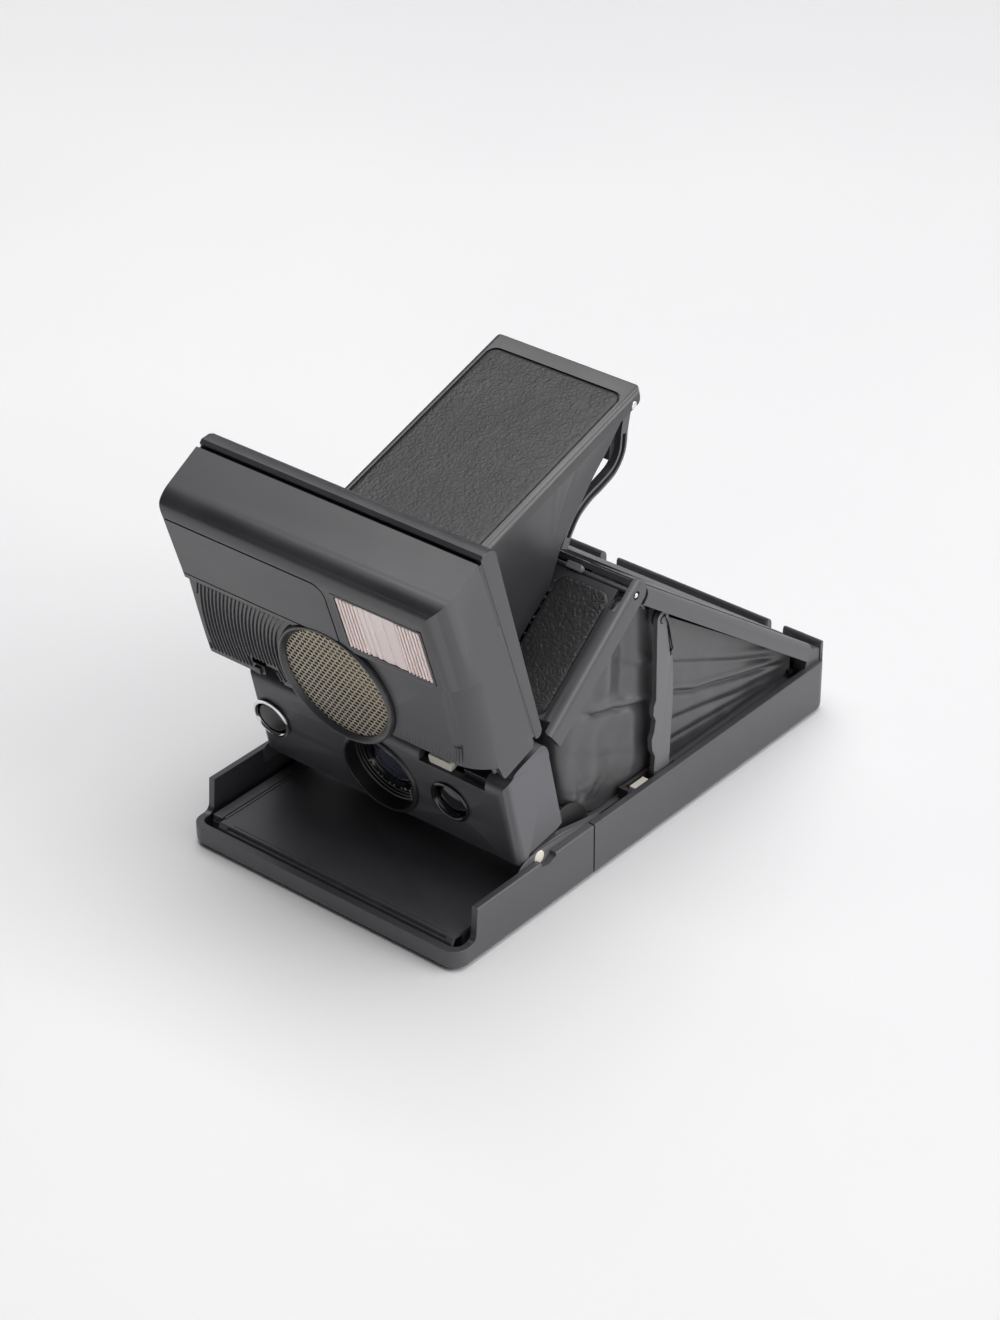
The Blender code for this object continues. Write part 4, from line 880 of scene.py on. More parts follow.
# ---- rear cover ----
def rear_cover():
    """Flat sheet with turned-down rounded sides."""
    side_section = ([(46, 1.6), (46, 3.35)] + arc(48.6, 1.25, 2.3, 90, 0, 8)
                    + [(50.9, -1.8), (49.2, -1.8), (49.2, 1), (48.6, 1.6)])
    sheet = [(-48, 6.4), (48, 6.4), (48, 105.2), (46.1, 105.2), (46.1, 106.6), (26.2, 106.6),
             (26.2, 103.4), (-26.2, 103.4), (-26.2, 106.6), (-46.1, 106.6), (-46.1, 105.2),
             (-48, 105.2)]
    cover = REAR.prism(sheet, 1.62, 3.3)
    join(cover, REAR.box(-27.4, 27.4, 63, 101, -2.9, 2.4))
    cut(cover, REAR.box(-26.2, 26.2, 64.2, 99.8, -1.9, 9))
    ear_outline = (REAR.outline([(98, 2.9), (98, -1.2), (107.5, -3.1)])
                   + arc(*APEX, 3.5, -115, 45, 10) + [REAR.at(106, 3.3)])
    tongue_outline = REAR.outline([(-2.4, -1.2), (-2.4, 1.4), (-0.8, 2.7), (8, 3.05), (8, 1.7),
                                   (3, -1.6), (0, -2.7)])
    for side in SIDES:
        flange = REAR.run(mirrored(side_section, side), 5, 109.4)
        cut(flange, rod(APEX, *span(side, 44, 52), 5.2, 64))
        ear = side_prism(ear_outline, *span(side, 46.4, 48.5))
        cut(ear, rod(APEX, *span(side, 45, 49), 1.4))
        tongue = side_prism(tongue_outline, *span(side, 39, 45))
        cut(tongue, rod(REAR_HINGE, *span(side, 38, 46), 1.4))
        join(cover, flange, ear, tongue)
    hook = [(83, 2), (96, 2), (92.4, -4.8), (90.8, -6.4), (88.2, -6.4), (86.6, -4.8)]
    join(cover, side_prism(REAR.outline(hook), 45, 46.1))
    join(cover, rod(STRUT_HINGE, 45.6, 48.4, 1))
    # two fine grooves along each side of the outer face
    for side in SIDES:
        for x in (44.6, 46.4):
            cut(cover, REAR.box(*span(side, x, x + 0.35), 8, 102, 3.05, 4.2))
    piece(bevelled(tidy(cover), 0.22, angle=40), "rear_cover_shell", "rear_cover", "rear",
          "rear_cover")
    panel = REAR.prism(rounded(-44, 44, 11.6, 102.4, 1.8, 5), 3, 3.75)
    cut(panel, REAR.prism(rounded(-26.5, 26.5, 63.9, 112, 1.2, 4), 2, 5))
    piece(bevelled(tidy(panel), 0.25, 3, 40), "rear_cover_pad", "rear_cover", "leather",
          "rear_cover_panel")
    piece(rod(APEX, -50.2, 50.2, 1.1), "apex_rod", "rear_cover", "black",
          "apex_hinge_rod")
    ends = join(rod(APEX, 49.6, 50.5, 0.8, 24, dome=0.3), rod(APEX, -50.5, -49.6, 0.8, 24))
    piece(ends, "apex_pin", "rear_cover", "chrome")


# ---- front cover ----
def front_cover():
    """Two legs framed by rolled side rims, open in the middle."""
    rim_section = ([(45.9, 1.8), (45.9, 3.3), (46.6, 3.75)] + arc(47.5, 0.75, 3.1, 88, 0, 10)
                   + [(50.6, -4.2), (49.1, -4.2), (49.1, 0.6)]
                   + arc(47.5, 0.75, 1.5, 0, 80, 5)[1:])
    sheet = [(-46.2, 1.2), (46.2, 1.2), (46.2, 43.4), (26.9, 43.4), (26.9, 37), (-26.9, 37),
             (-26.9, 43.4), (-46.2, 43.4)]
    rim_limit = (FRONT.outline([(46.6, 3), (46.9, -4.3), (3.6, -4.3)])
                 + arc(*APEX, 4.5, -62, 106, 14) + FRONT.outline([(1, 4), (45.6, 4)]))
    knuckle = FRONT.outline([(1.6, 2), (7, 2), (3.4, 4.2), (-2.6, 6), (-4.6, 6.6), (-6.6, 5.8),
                             (-7.2, 4), (-6.4, 2.2), (-4.4, 1.8)])
    cover = FRONT.prism(sheet, 1.6, 3)
    cut(cover, FRONT.box(-27, 27, 9, 33, -10, 10))
    for side in SIDES:
        rim = FRONT.run(mirrored(rim_section, side), -5.5, 46.9)
        keep(rim, side_prism(rim_limit, *span(side, 40, 52)))
        # inside, the rim stops short of the lens housing's shoulders
        cut(rim, FRONT.box(*span(side, 40, 48.7), 43.3, 50, -10, 10),
            FRONT.box(*span(side, 40, 49.05), -8, 7.4, -10, 10))
        join(cover, rim)
        cut(cover, rod(APEX, *span(side, 47, 52), 1.35, 24))
        join(cover, side_prism(knuckle, *span(side, 18.6, 21.4)))
    cut(cover, rod(ARM_HINGE, -23, 23, 1.4))
    piece(bevelled(tidy(cover), 0.2, angle=42), "front_cover_shell", "front_cover", "cover",
          "front_cover")
    for side, word in ((1, "right"), (-1, "left")):
        hide = pad(FRONT, span(side, 27.2, 45.5), (3, 43), base=3.05, top=3.62, radius=3.2,
                   crown=0.22, columns=40, rows=90)
        piece(hide, "front_pad_" + word[0], "front_cover", "leather_front",
              "front_pad_" + word, sharp=60, weighted=False)


def shield_stakes():
    """Small tabs of uneven length along the joint between the shield and the pads."""
    tabs = []
    for side in SIDES:
        for k in range(13):
            along = 5.5 + k * 2.85 + 0.5 * sin(k * 2.1)
            tab = FRONT.box(*span(side, 26.5, 26.85), along,
                            along + 0.55 + 0.25 * sin(k * 3.7), 2.9, 3.5)
            tabs.append(bevelled(tab, 0.1))
    piece(merge(tabs), "shield_stakes", "front_cover", "mark_dim")
    lug = FRONT.prism(rounded(27.5, 33, -1.2, 0.9, 0.8, 4), 2.2, 4.1)
    piece(bevelled(lug, 0.3, 3), "front_tab_r", "front_cover", "strut")


# ---- viewfinder ----
def shield():
    """Folding side walls of the viewfinder and the wall between them at the front."""
    columns, rows = 70, 26
    back = smooth_line([(75.9, 93.4), (78.1, 96.3), (83.5, 101.9), (90.3, 109.4),
                        (97.1, 115.8), CAP.at(6.5, -1.3)])
    upper = resample([CAP.at(6.5 + (69.4 - 6.5) * i / 30, 0.6) for i in range(31)], columns)
    foot = [FRONT.at(8 + 32.6 * i / 8, 3.3) for i in range(9)]
    lower = resample([CAP.at(6.5, -1.3)] + back[::-1][1:] + foot, columns)
    for side, name, cad in ((-1, "shield_wall_l", None),
                            (1, "shield_wall_r", "viewfinder_shield")):
        mesh = bmesh.new()
        grid = []
        for i in range(columns):
            column = []
            for j in range(rows):
                down = j / (rows - 1)
                y = upper[i][0] + (lower[i][0] - upper[i][0]) * down
                z = upper[i][1] + (lower[i][1] - upper[i][1]) * down
                # the wall bows in, with two soft fold lines that fan from the rear
                bow = 0.75 * sin(pi * down) * sin(pi * min(1.0, i / (columns - 1) * 1.15))
                angle = degrees(atan2(z - 96, y - 73))
                bow += 0.16 * exp(-((angle - 62) / 2.2) ** 2)
                bow -= 0.14 * exp(-((angle - 84) / 2.6) ** 2)
                column.append(mesh.verts.new(place(side * (25.9 - bow), y, z)))
            grid.append(column)
        for column, following in zip(grid, grid[1:]):
            for j in range(rows - 1):
                mesh.faces.new((column[j], following[j], following[j + 1], column[j + 1]))
        bmesh.ops.remove_doubles(mesh, verts=mesh.verts, dist=0.00001)
        piece(thickened(from_bmesh(mesh), 0.7), name, "front_cover", "shield",
              cad, sharp=50, weighted=False)
    wall = [CAP.at(68.6, -1.5), CAP.at(69.5, -1.5), FRONT.at(41.2, 3.7), FRONT.at(40.4, 3.7)]
    piece(bevelled(side_prism(wall, -25.6, 25.6), 0.15), "shield_front", "front_cover",
          "shield")


def eyepiece_arm():
    path = smooth_line([(79.6, 90.4), (81.7, 94.3), (85.5, 98.9), (90.8, 102), (96.6, 103.8),
                        (102.2, 106.2), (105.6, 110.6), (106.6, 117.4), (108.3, 124.6)], 5)
    limbs = []
    for side in SIDES:
        limb = side_prism(ribbon(path, 1.55), *span(side, 22.1, 24.6))
        # channel along the outer side
        cut(limb, side_prism(ribbon(path[4:-6], 0.75), *span(side, 23.5, 25.5)))
        join(limb, rod(CAP_HINGE, *span(side, 22, 24.65), 1.6, 24))
        cut(limb, rod(CAP_HINGE, *span(side, 21, 26), 1.2))
        limbs.append(limb)
    arm = join(*limbs)
    bridge = [(101.9, 108.6), (104.4, 108), (105.6, 118.6), (103.4, 119.6)]
    join(arm, side_prism(bridge, -22.6, 22.6))
    cut(arm, loft([oval(0, y, EYEPIECE_Z, 8.2, 3.9, 40) for y in (95, 115)]))
    join(arm, rod(ARM_HINGE, -24.4, 24.4, 1.15))
    piece(bevelled(tidy(arm), 0.18, angle=42), "eyepiece_arm", "viewfinder_arm", "charcoal",
          "viewfinder_arm")
    # soft rim round the eyepiece, (radius, y)
    profile = [(8, 105.3), (9.2, 105.4), (9.4, 106.3), (8.9, 106.9), (8.1, 106.5)]
    cup = loft([oval(0, y, EYEPIECE_Z, r, r * 0.48, 48) for r, y in profile], closed=True)
    piece(cup, "eyecup", "viewfinder_arm", "rubber")


def viewfinder_cap():
    section = [(-26.5, -1), (-24.9, -1), (-24.9, 1.7), (24.9, 1.7), (24.9, -1), (26.5, -1)]
    cap = CAP.run(section + shoulders(24.6, 1.4, 1.9, 7), -4.6, 72)
    join(cap, CAP.box(-25.2, 25.2, 70.2, 71.9, -1, 2.4))
    limit = [(-4.7, 2.9), (-4, 3.35), (70.6, 3.35), (71.5, 2.9), (72, 2), (72, -1.1),
             (1.5, -1.1), (-1.6, -1.1), (-3.6, 0.6)]
    keep(cap, side_prism(CAP.outline(limit), -30, 30))
    keep(cap, CAP.prism(rounded(-26.6, 26.6, -4.7, 90, (3.0, 0.5, 0.5, 3.0)), -20, 9))
    cut(cap, CAP.prism(rounded(-24.1, 24.1, 0.6, 70.6, 3.2), 2.75, 5))
    for side in SIDES:
        cut(cap, rod(CAP_HINGE, *span(side, 24, 27.5), 1.3, 24))
    piece(bevelled(tidy(cap), 0.22, angle=42), "cap_shell", "viewfinder_cap", "cap",
          "viewfinder_cap")
    hide = pad(CAP, (-23.8, 23.8), (0.9, 70.3), base=2.85, top=3.4, radius=3, crown=0.14,
               columns=96, rows=130)
    piece(hide, "cap_pad", "viewfinder_cap", "leather", "viewfinder_pad",
          sharp=60, weighted=False)
    pin = join(rod(CAP_HINGE, -26.4, 26.4, 1.1, 24),
               rod(CAP_HINGE, 26.2, 26.5, 1, 24, dome=0.15))
    piece(pin, "cap_pin", "viewfinder_arm", "chrome", "viewfinder_hinge_rod")


def strut():
    """Cover support on the right, with a fine wire on its outer face."""
    outline = arc(95, 69.2, 2.6, 170, 10, 8) + [
        (98.3, 62), (100.2, 52), (100.6, 40), (99.4, 17.2), (97.2, 15.6), (94, 15.8),
        (92.2, 18.2), (92.6, 23.5), (91.2, 26.4), (90.9, 30), (92, 32.4), (92.6, 36),
        (91.4, 38.4), (91.6, 41), (92.6, 43)]
    bar = side_prism(outline, 46.6, 48.2)
    cut(bar, rod(STRUT_HINGE, 46, 49, 1.3))
    cut(bar, side_prism([(97, 66), (97.5, 66), (99.5, 55), (98.9, 55)], 46, 49))
    piece(bevelled(tidy(bar), 0.22, angle=42), "strut", "cover_support", "strut",
          "cover_support")
    wire_line = [(95.6, 70.4), (97.2, 67.5), (99.6, 57.6), (98.6, 56.6)]
    piece(side_prism(ribbon(wire_line, 0.28), 48.25, 48.75), "strut_spring", "cover_support",
          "gloss")


# ---- bellows ----
# crease line seen from the side, depth, width
CREASES = [
    ([(92.0, 53.5), (106.7, 47.4), (131.3, 36.0), (160.0, 23.6)], 0.55, 1.5),
    ([(96.0, 40.4), (107.0, 37.4), (116.0, 33.2), (125.6, 30.6), (136.0, 27.6), (145.3, 25.0),
      (162.0, 20.6)], 1.25, 1.3),
    ([(97.0, 31.0), (106.7, 28.4), (121.0, 25.4), (138.1, 21.3), (160.0, 18.4)], 0.45, 1.6),
    ([(98.0, 22.5), (120.0, 20.2), (150.0, 17.2)], 0.5, 1.4),
    ([(63.3, 52.0), (67.0, 49.4), (71.0, 47.9), (76.5, 46.4), (82.2, 43.9), (94.2, 40.7)],
     1.3, 1.4),
    ([(77.4, 61.8), (84.2, 57.4), (92.2, 53.0)], 0.45, 1.5),
    ([(54.5, 41.8), (63.0, 37.0), (75.7, 31.6), (92.0, 25.0)], 0.1, 1.8),
]
# centre line of an upright swell, half width, height
SWELLS = [
    ([(73.6, 78.0), (73.4, 61.6), (73.0, 49.0)], 3.4, 1.3),
    ([(82.0, 80.0), (82.6, 62.0), (82.8, 46.0)], 3.6, -1.4),
    ([(67.8, 46.0), (67.6, 36.0), (68.2, 22.0)], 3.8, 0.8),
    ([(60.4, 42.0), (61.4, 34.0), (64.0, 19.0)], 3.2, -0.6),
    ([(76.5, 45.0), (78.0, 34.0), (77.0, 17.0)], 4.2, -0.5),
    ([(56.0, 36.0), (55.6, 28.0), (57.0, 20.0)], 2.2, 0.9),
    ([(86.0, 42.0), (86.4, 30.0), (86.0, 17.0)], 3.0, 0.6),
]


def nearest(y, z, line):
    """Distance to a line, the side of it, and how far along it the nearest point is."""
    best = (1e9, 0.0, 0.0)
    total = sum(dist(start, end) for start, end in zip(line, line[1:]))
    done = 0.0
    for (y0, z0), (y1, z1) in zip(line, line[1:]):
        dy, dz = y1 - y0, z1 - z0
        length = hypot(dy, dz)
        t = min(1.0, max(0.0, ((y - y0) * dy + (z - z0) * dz) / (length * length)))
        distance = hypot(y - (y0 + dy * t), z - (z0 + dz * t))
        if distance < best[0]:
            facing = copysign(1.0, dy * (z - z0) - dz * (y - y0))
            best = (distance, facing, (done + t * length) / total)
        done += length
    return best


def relief(y, z):
    """Height of the creases, swells and rumples at a point of the side walls."""
    height = 0.0
    for line, depth, width in CREASES:
        distance, facing, run = nearest(y, z, line)
        if distance < width * 5:
            fade = min(1.0, 5 * min(run, 1 - run) + 0.15)
            across = distance * facing / width
            # raised on one side of the line and hollow on the other
            lip = 0.75 * exp(-(across - 1.1) ** 2)
            height += fade * depth * (lip - exp(-((across + 0.35) / 0.75) ** 2))
    for line, width, rise in SWELLS:
        distance, _, run = nearest(y, z, line)
        fade = min(1.0, 4 * min(run, 1 - run) + 0.25)
        height += fade * rise * exp(-(distance / width) ** 2)
    height += 0.14 * noise.noise(Vector((y * 0.06, z * 0.06, 4.0)))
    # the lower front corner is rumpled
    rumple = exp(-((y - 62) / 9) ** 2 - ((z - 23) / 6) ** 2)
    height += rumple * (0.7 * noise.noise(Vector((y * 0.32, z * 0.42, 1.0)))
                        + 0.35 * noise.noise(Vector((y * 0.8, z * 0.9, 2.0))))
    return height


def bellows():
    """Side walls fanned from the rear hinge to a front edge, and the wall between them."""
    columns, front_rows, wall_columns = 120, 46, 46
    half_width, corner = 44.4, 6.5
    rear_y = 164.5
    front_edge = smooth_line([(64, 15.6), (60.4, 18), (56.6, 22.4), (54.4, 30), (53.4, 38),
                              (53.2, 46), (53.6, 52), (54.4, 56.4)], 5)
    top = FRONT.outline([(32.5, -1.4), (20, -1.6), (9, -1.6)]) + [(80, 80.5)]
    edge_line = (resample(front_edge, front_rows)
                 + resample([front_edge[-1]] + top, 30)[1:])
    rows = len(edge_line)
    mesh = bmesh.new()
    last = {}
    for side in (1, -1):
        grid = []
        for i in range(columns):
            forward = (i / (columns - 1)) ** 0.85
            column = []
            for j, (front_y, front_z) in enumerate(edge_line):
                on_front = j < front_rows
                rear_z = 15.8 + 6 * (j / (rows - 1))
                y = rear_y + (front_y - rear_y) * forward
                z = rear_z + (front_z - rear_z) * forward
                near = min(1.0, max(0.0, (rear_y - y) / 14))
                to_front = (1 - forward) * hypot(front_y - rear_y, front_z - rear_z)
                x = half_width
                if on_front and to_front < corner:
                    x -= corner - sqrt(max(0.0, corner * corner - (corner - to_front) ** 2))
                edge = min(1.0, max(0.0, to_front / (5 if on_front else 3)))
                rise = relief(y, z) * near * (0.25 + 0.75 * edge)
                x += min(0.9, max(-3.4, rise - 0.5 * near))
                column.append(mesh.verts.new(place(side * x, y, z)))
            grid.append(column)
        for column, following in zip(grid, grid[1:]):
            for j in range(rows - 1):
                quad = (column[j], following[j], following[j + 1], column[j + 1])
                mesh.faces.new(quad[::side])
        last[side] = grid[-1][:front_rows]
    # front wall between the two rounded corners
    column = last[1]
    for k in range(1, wall_columns + 1):
        part = k / wall_columns
        following = last[-1] if k == wall_columns else []
        if not following:
            middle = sin(pi * part)
            for right, left in zip(last[1], last[-1]):
                point = right.co.lerp(left.co, part)
                x, y, z = point.x / MM, point.y / MM + BODY_LEN / 2, point.z / MM
                y += 0.7 * middle * noise.noise(Vector((x * 0.07, z * 0.05, 7.0)))
                y -= 0.35 * middle * exp(-((abs(x) - 30) / 3) ** 2)
                following.append(mesh.verts.new(place(x, y, z)))
        for j in range(front_rows - 1):
            mesh.faces.new((column[j], following[j], following[j + 1], column[j + 1]))
        column = following
    bmesh.ops.remove_doubles(mesh, verts=mesh.verts, dist=0.00002)
    piece(thickened(from_bmesh(mesh), 0.55), "bellows_skin", "base", "rubber",
          "bellows", sharp=70, weighted=False)


# ---- shutter housing ----
def housing():
    crest = SHUTTER.at(27.6, -4.2)
    profile = (SHUTTER.outline([(-3.7, -0.6), (-3.2, -0.15), (-2.2, 0)])
               + bezier(SHUTTER.at(22.6, 0), SHUTTER.at(26.9, 0), crest)
               + [(43.5, 48.9), (49.3, 23.9), (47.5, 22.9), (34.9, 20.9), (34.3, 19),
                  (32.6, 17.7)])
    shell = side_prism(profile, -SHUTTER_HALF, SHUTTER_HALF)
    plan = [(-SHUTTER_HALF, -40), (SHUTTER_HALF, -40)] + shoulders(SHUTTER_HALF - 3.4, -3.4, 3.4)
    keep(shell, SHUTTER.run(plan, -20, 60))
    hollow = (SHUTTER.outline([(1.4, -2), (22.6, -2), (24.4, -3.4)])
              + [(60, 46.8), (60, 24.6), (34, 22.4)])
    cut(shell, side_prism(hollow, -SHUTTER_HALF + 2, SHUTTER_HALF - 2))
    shoulder = smooth_line([(27.6, 46.2), (27.6, 48.6), (28.3, 50.6), (30.8, 51.8), (39.2, 54.2),
                            (41.6, 53.6), (43, 51.6), (43.5, 49.6), (43.4, 48.2)], 3)
    shoulder += [(42.6, 46), (38, 44.6), (29, 44.6)]
    lug_outline = [(34, 23.5), (35.3, 16.6), (37.2, 14.9), (39.8, 14.9), (41.7, 16.4),
                   (44.5, 24.5)]
    neck_outline = [(40, 47), (41.6, 56.4), (43.2, 59.6), (46.2, 60.2), (47.9, 58.4),
                    (47.7, 55.4), (44.6, 50), (44.2, 47)]
    for side in SIDES:
        join(shell, side_prism(shoulder, *span(side, 44.6, SHUTTER_HALF - 0.02)))
        lug = side_prism(lug_outline, *span(side, 44, 46.3))
        cut(lug, rod(SHUTTER_HINGE, *span(side, 43, 47), 1.4))
        neck = side_prism(neck_outline, *span(side, 17.6, 20.4))
        cut(neck, rod(HEAD_HINGE, *span(side, 17, 21), 1.4))
        join(shell, lug, neck)
    lens_hole = keep(SHUTTER.prism(circle(*LENS, 13, 80), -20, 6),
                     SHUTTER.box(-20, 20, -3.1, 40, -30, 10))
    cut(shell, lens_hole, SHUTTER.prism(circle(*EYE, 5.9, 40), -6, 4),
        SHUTTER.prism(circle(*BUTTON, 5.7, 40), -6, 4))
    cut(shell, plan_prism(circle(*WHEEL[:2], 7.4, 40), 48.2, 55))
    cut(shell, SHUTTER.box(17, 41, 23.1, 40, -5.6, 3))
    piece(bevelled(tidy(shell), 0.55, 3, 42), "housing_shell", "shutter", "charcoal",
          "shutter_housing_shell")
    # dark inner step at the right of the slider
    piece(bevelled(SHUTTER.box(32.8, 40.6, 23.4, 26.4, -5, -1.4), 0.2), "slider_track",
          "shutter", "gloss")


def lens():
    """Ring, ribbed well, marked barrel and coated glass."""
    ring = SHUTTER.turn(LENS, [(12.9, -3.6), (12.9, 0.12), (13.95, 0.12), (13.85, 0.55),
                               (13.5, 0.85), (13.1, 0.92), (12.75, 0.8), (12.6, 0.55),
                               (12.6, -3.6)], 96)
    keep(ring, SHUTTER.box(-20, 20, -3.5, 40, -10, 10))
    piece(ring, "lens_ring", "shutter", "black", "lens_bezel")

    well = []
    for k in range(7):
        taper = 0.22 * k
        top = -3.5 - k * 0.9
        well += [(12.4 - taper, top), (12.0 - taper, top - 0.25), (12.0 - taper, top - 0.65)]
    well += [(12.55, well[-1][1]), (12.55, well[0][1])]
    piece(SHUTTER.turn(LENS, well[::-1], 80), "lens_well", "shutter", "black",
          sharp=25)

    barrel = [(0, -10.6), (10.2, -10.6), (10.2, -5.6), (10, -5), (9.6, -4.6), (8.9, -4.5),
              (8.3, -5.2), (8, -6.4), (7.9, -7), (0, -7)]
    piece(SHUTTER.turn(LENS, barrel, 80), "barrel", "lens_barrel", "gloss",
          "lens_barrel")
    glass = [(0, -6.6), (7.7, -6.6), (7.75, -6), (7.2, -5.4), (6, -4.85), (4.4, -4.35),
             (2.4, -4), (0, -3.88)]
    piece(SHUTTER.turn(LENS, glass, 72), "front_glass", "lens_barrel", "lens",
          "front_lens", sharp=60)

    # tick marks round the barrel: every third left out, every fifth longer and wider
    ticks = []
    for k in range(34):
        if k % 3 == 2:
            continue
        angle = radians(-160 + k * 9.2)
        half, length = (0.11, 0.55) if k % 5 else (0.16, 0.85)
        inner, outer = 9.0, 9.0 + length
        points = []
        for radius, shift in ((inner, -half), (outer, -half), (outer, half), (inner, half)):
            turned = angle + shift / radius
            points.append((LENS[0] + radius * cos(turned), LENS[1] + radius * sin(turned)))
        ticks.append(SHUTTER.prism(points, -4.6, -4.42))
    piece(merge(ticks), "focus_marks", "lens_barrel", "mark")
    piece(SHUTTER.box(6.6, 6.85, -0.4, 3.4, -3.4, -3.2), "index_line", "shutter", "mark")


def shutter_controls():
    """Electric eye, shutter button, exposure slider and focus wheel."""
    eye_ring = [(5.15, -1.3), (5.6, -1.3), (5.6, 0.3), (6.85, 0.3), (6.85, 0.65), (6.5, 0.95),
                (6.1, 1), (5.7, 0.75), (5.3, 0.1)]
    piece(SHUTTER.turn(EYE, eye_ring), "eye_ring", "shutter", "gloss",
          "electric_eye_bezel")
    eye_glass = [(0, -2.3), (4.9, -2.3), (4.9, -1.2), (4.4, -0.75), (3.4, -0.38), (2, -0.1),
                 (0, 0.05)]
    piece(SHUTTER.turn(EYE, eye_glass, 56), "eye_glass", "shutter", "eye",
          "electric_eye_lens", sharp=60)
    rim = [(5.35, -1.5), (5.6, -1.5), (5.6, 0.3), (6.5, 0.3), (6.75, 0.6), (6.7, 0.95),
           (6.3, 1.25), (5.85, 1.25), (5.5, 0.95), (5.35, 0.5)]
    piece(SHUTTER.turn(BUTTON, rim, 72), "button_rim", "shutter", "chrome",
          "button_ring")
    dome = [(0, -3.6), (4.9, -3.6), (4.95, 0.2), (4.7, 0.55), (4, 0.85), (2.8, 1.05),
            (1.4, 1.15), (0, 1.18)]
    piece(SHUTTER.turn(BUTTON, dome), "button_dome", "shutter_button", "black",
          "shutter_button", sharp=60)
    slider = SHUTTER.prism(rounded(20.4, 28.8, 23.6, 26.8, 0.8, 5), -4.4, -0.6)
    piece(bevelled(slider, 0.35, 3), "slider_cap", "exposure_slider", "cream",
          "exposure_slider")

    teeth = 34
    pitch = 2 * pi / teeth
    crown, root, half_thickness = 6.9, 6.45, 1.5
    outline = []
    for k in range(teeth):
        for part, radius in ((-0.25, crown), (0.25, crown), (0.36, root), (0.64, root)):
            angle = 2 * pi * k / teeth + part * pitch
            outline.append((WHEEL[0] + radius * cos(angle), WHEEL[1] + radius * sin(angle)))
    wheel = plan_prism(outline, WHEEL[2] - half_thickness, WHEEL[2] + half_thickness)
    piece(bevelled(wheel, 0.12, angle=50), "focus_knob", "focus_wheel", "black",
          "focus_wheel")


# ---- flash and sonar head ----
def head_plan(inset, level, left_radius=1.8):
    """(x, off) section: a generous corner on the right, a small one on the left."""
    x = HEAD_HALF - inset
    radius = 9.0
    return ([(-x, -60), (x, -60)] + arc(x - radius, level - radius, radius, 0, 90, 14)
            + arc(-x + left_radius, level - left_radius, left_radius, 90, 180, 5))


def head_limit(inset, top, radius, foot=HEAD_HALF):
    """Block with rounded top corners that trims the head across its face."""
    outline = [(-foot, -12), (foot, -12)] + shoulders(HEAD_HALF - inset, top - inset, radius)
    return HEAD.prism(outline, -40, 30)


def left_trim(outer, inset, off0, off1):
    """Block that slants the left edge of the lower face."""
    x = -HEAD_HALF + inset
    return HEAD.prism([(outer, -14), (x + 2.5, -14), (x + 1.6, 0), (x, 26), (outer, 26)],
                      off0, off1)


def head_shell():
    head = side_prism([(12.4, 60.6), (11, 61), (10.6, 62.2), (4, 89.6), (4, 100), (20, 104),
                       (34.15, 59.75), (33.8, 59.2), (21.6, 58.2)], -HEAD_HALF, HEAD_HALF)
    keep(head, HEAD.run(head_plan(0, 0.05), -30, 90))
    # brow, standing proud of the lower face
    brow_outline = ([(14, 90.6), (3.3, 89), (2.75, 89.2), (2.45, 89.8)]
                    + bezier((-3.95, 110.8), (-5.85, 116.7), (0.5, 120.1), 12)
                    + [(11.5, 126.4), (24.15, 89.9)])
    brow = side_prism(brow_outline, -HEAD_HALF, HEAD_HALF)
    join(head, keep(brow, BROW.run(head_plan(0, 0), -30, 90)))
    hollow = side_prism([(40, 61.6), (13.2, 63.4), (6.8, 90), (-0.4, 113), (-0.4, 114.6),
                         (1.6, 116.6), (18, 127.4)], -HEAD_HALF - 1, HEAD_HALF + 1)
    cut(head, keep(hollow, HEAD.run(head_plan(2, 1, 0.3), -30, 90)))
    wedge_outline = [(18.6, 60.6), (21.7, 54.2), (22.4, 53.9), (34, 58), (34.3, 60.4)]
    for side in SIDES:
        wedge = side_prism(wedge_outline, *span(side, 46.6, HEAD_HALF - 0.02))
        # the wedge thins towards its foot
        slope = [[place(side * x, y, z) for y, z in ((10, top), (10, 50), (40, 50), (40, top))]
                 for x, top in ((46.61, 61.6), (49.6, 54.6))]
        join(head, cut(wedge, loft(slope[::side])))
    keep(head, head_limit(3.6, 67.4, 3.6, foot=HEAD_HALF + 0.5))
    cut(head, left_trim(-HEAD_HALF - 4, 0.1, -50, 30))
    cut(head, HEAD.prism(circle(*SONAR, 20.7, 96), -9, 9))
    cut(head, BROW.box(*WINDOW, -9, 9))
    # recess for the switch
    cut(head, HEAD.box(-31.4, -20.4, -4, 4.2, -6, 4), HEAD.box(-31.4, -26, -4, 6, -6, 4))
    # shallow bed for the blank plate
    plate_bed = rounded(-49.7, 9.4, 0.7, 22.4, (0.8, 4.4, 0.8, 0.8), 8)
    cut(head, BROW.prism(plate_bed, -0.4, 4))
    piece(bevelled(tidy(head), 0.38, 3, 44), "head_shell", "flash_head", "head",
          "head_front_shell")
    plate = BROW.prism(rounded(-49.05, 9, 1.25, 21.95, (0.6, 4.0, 0.6, 0.6), 8), -0.38, 0.1)
    piece(bevelled(plate, 0.12), "brow_plate", "flash_head", "head")


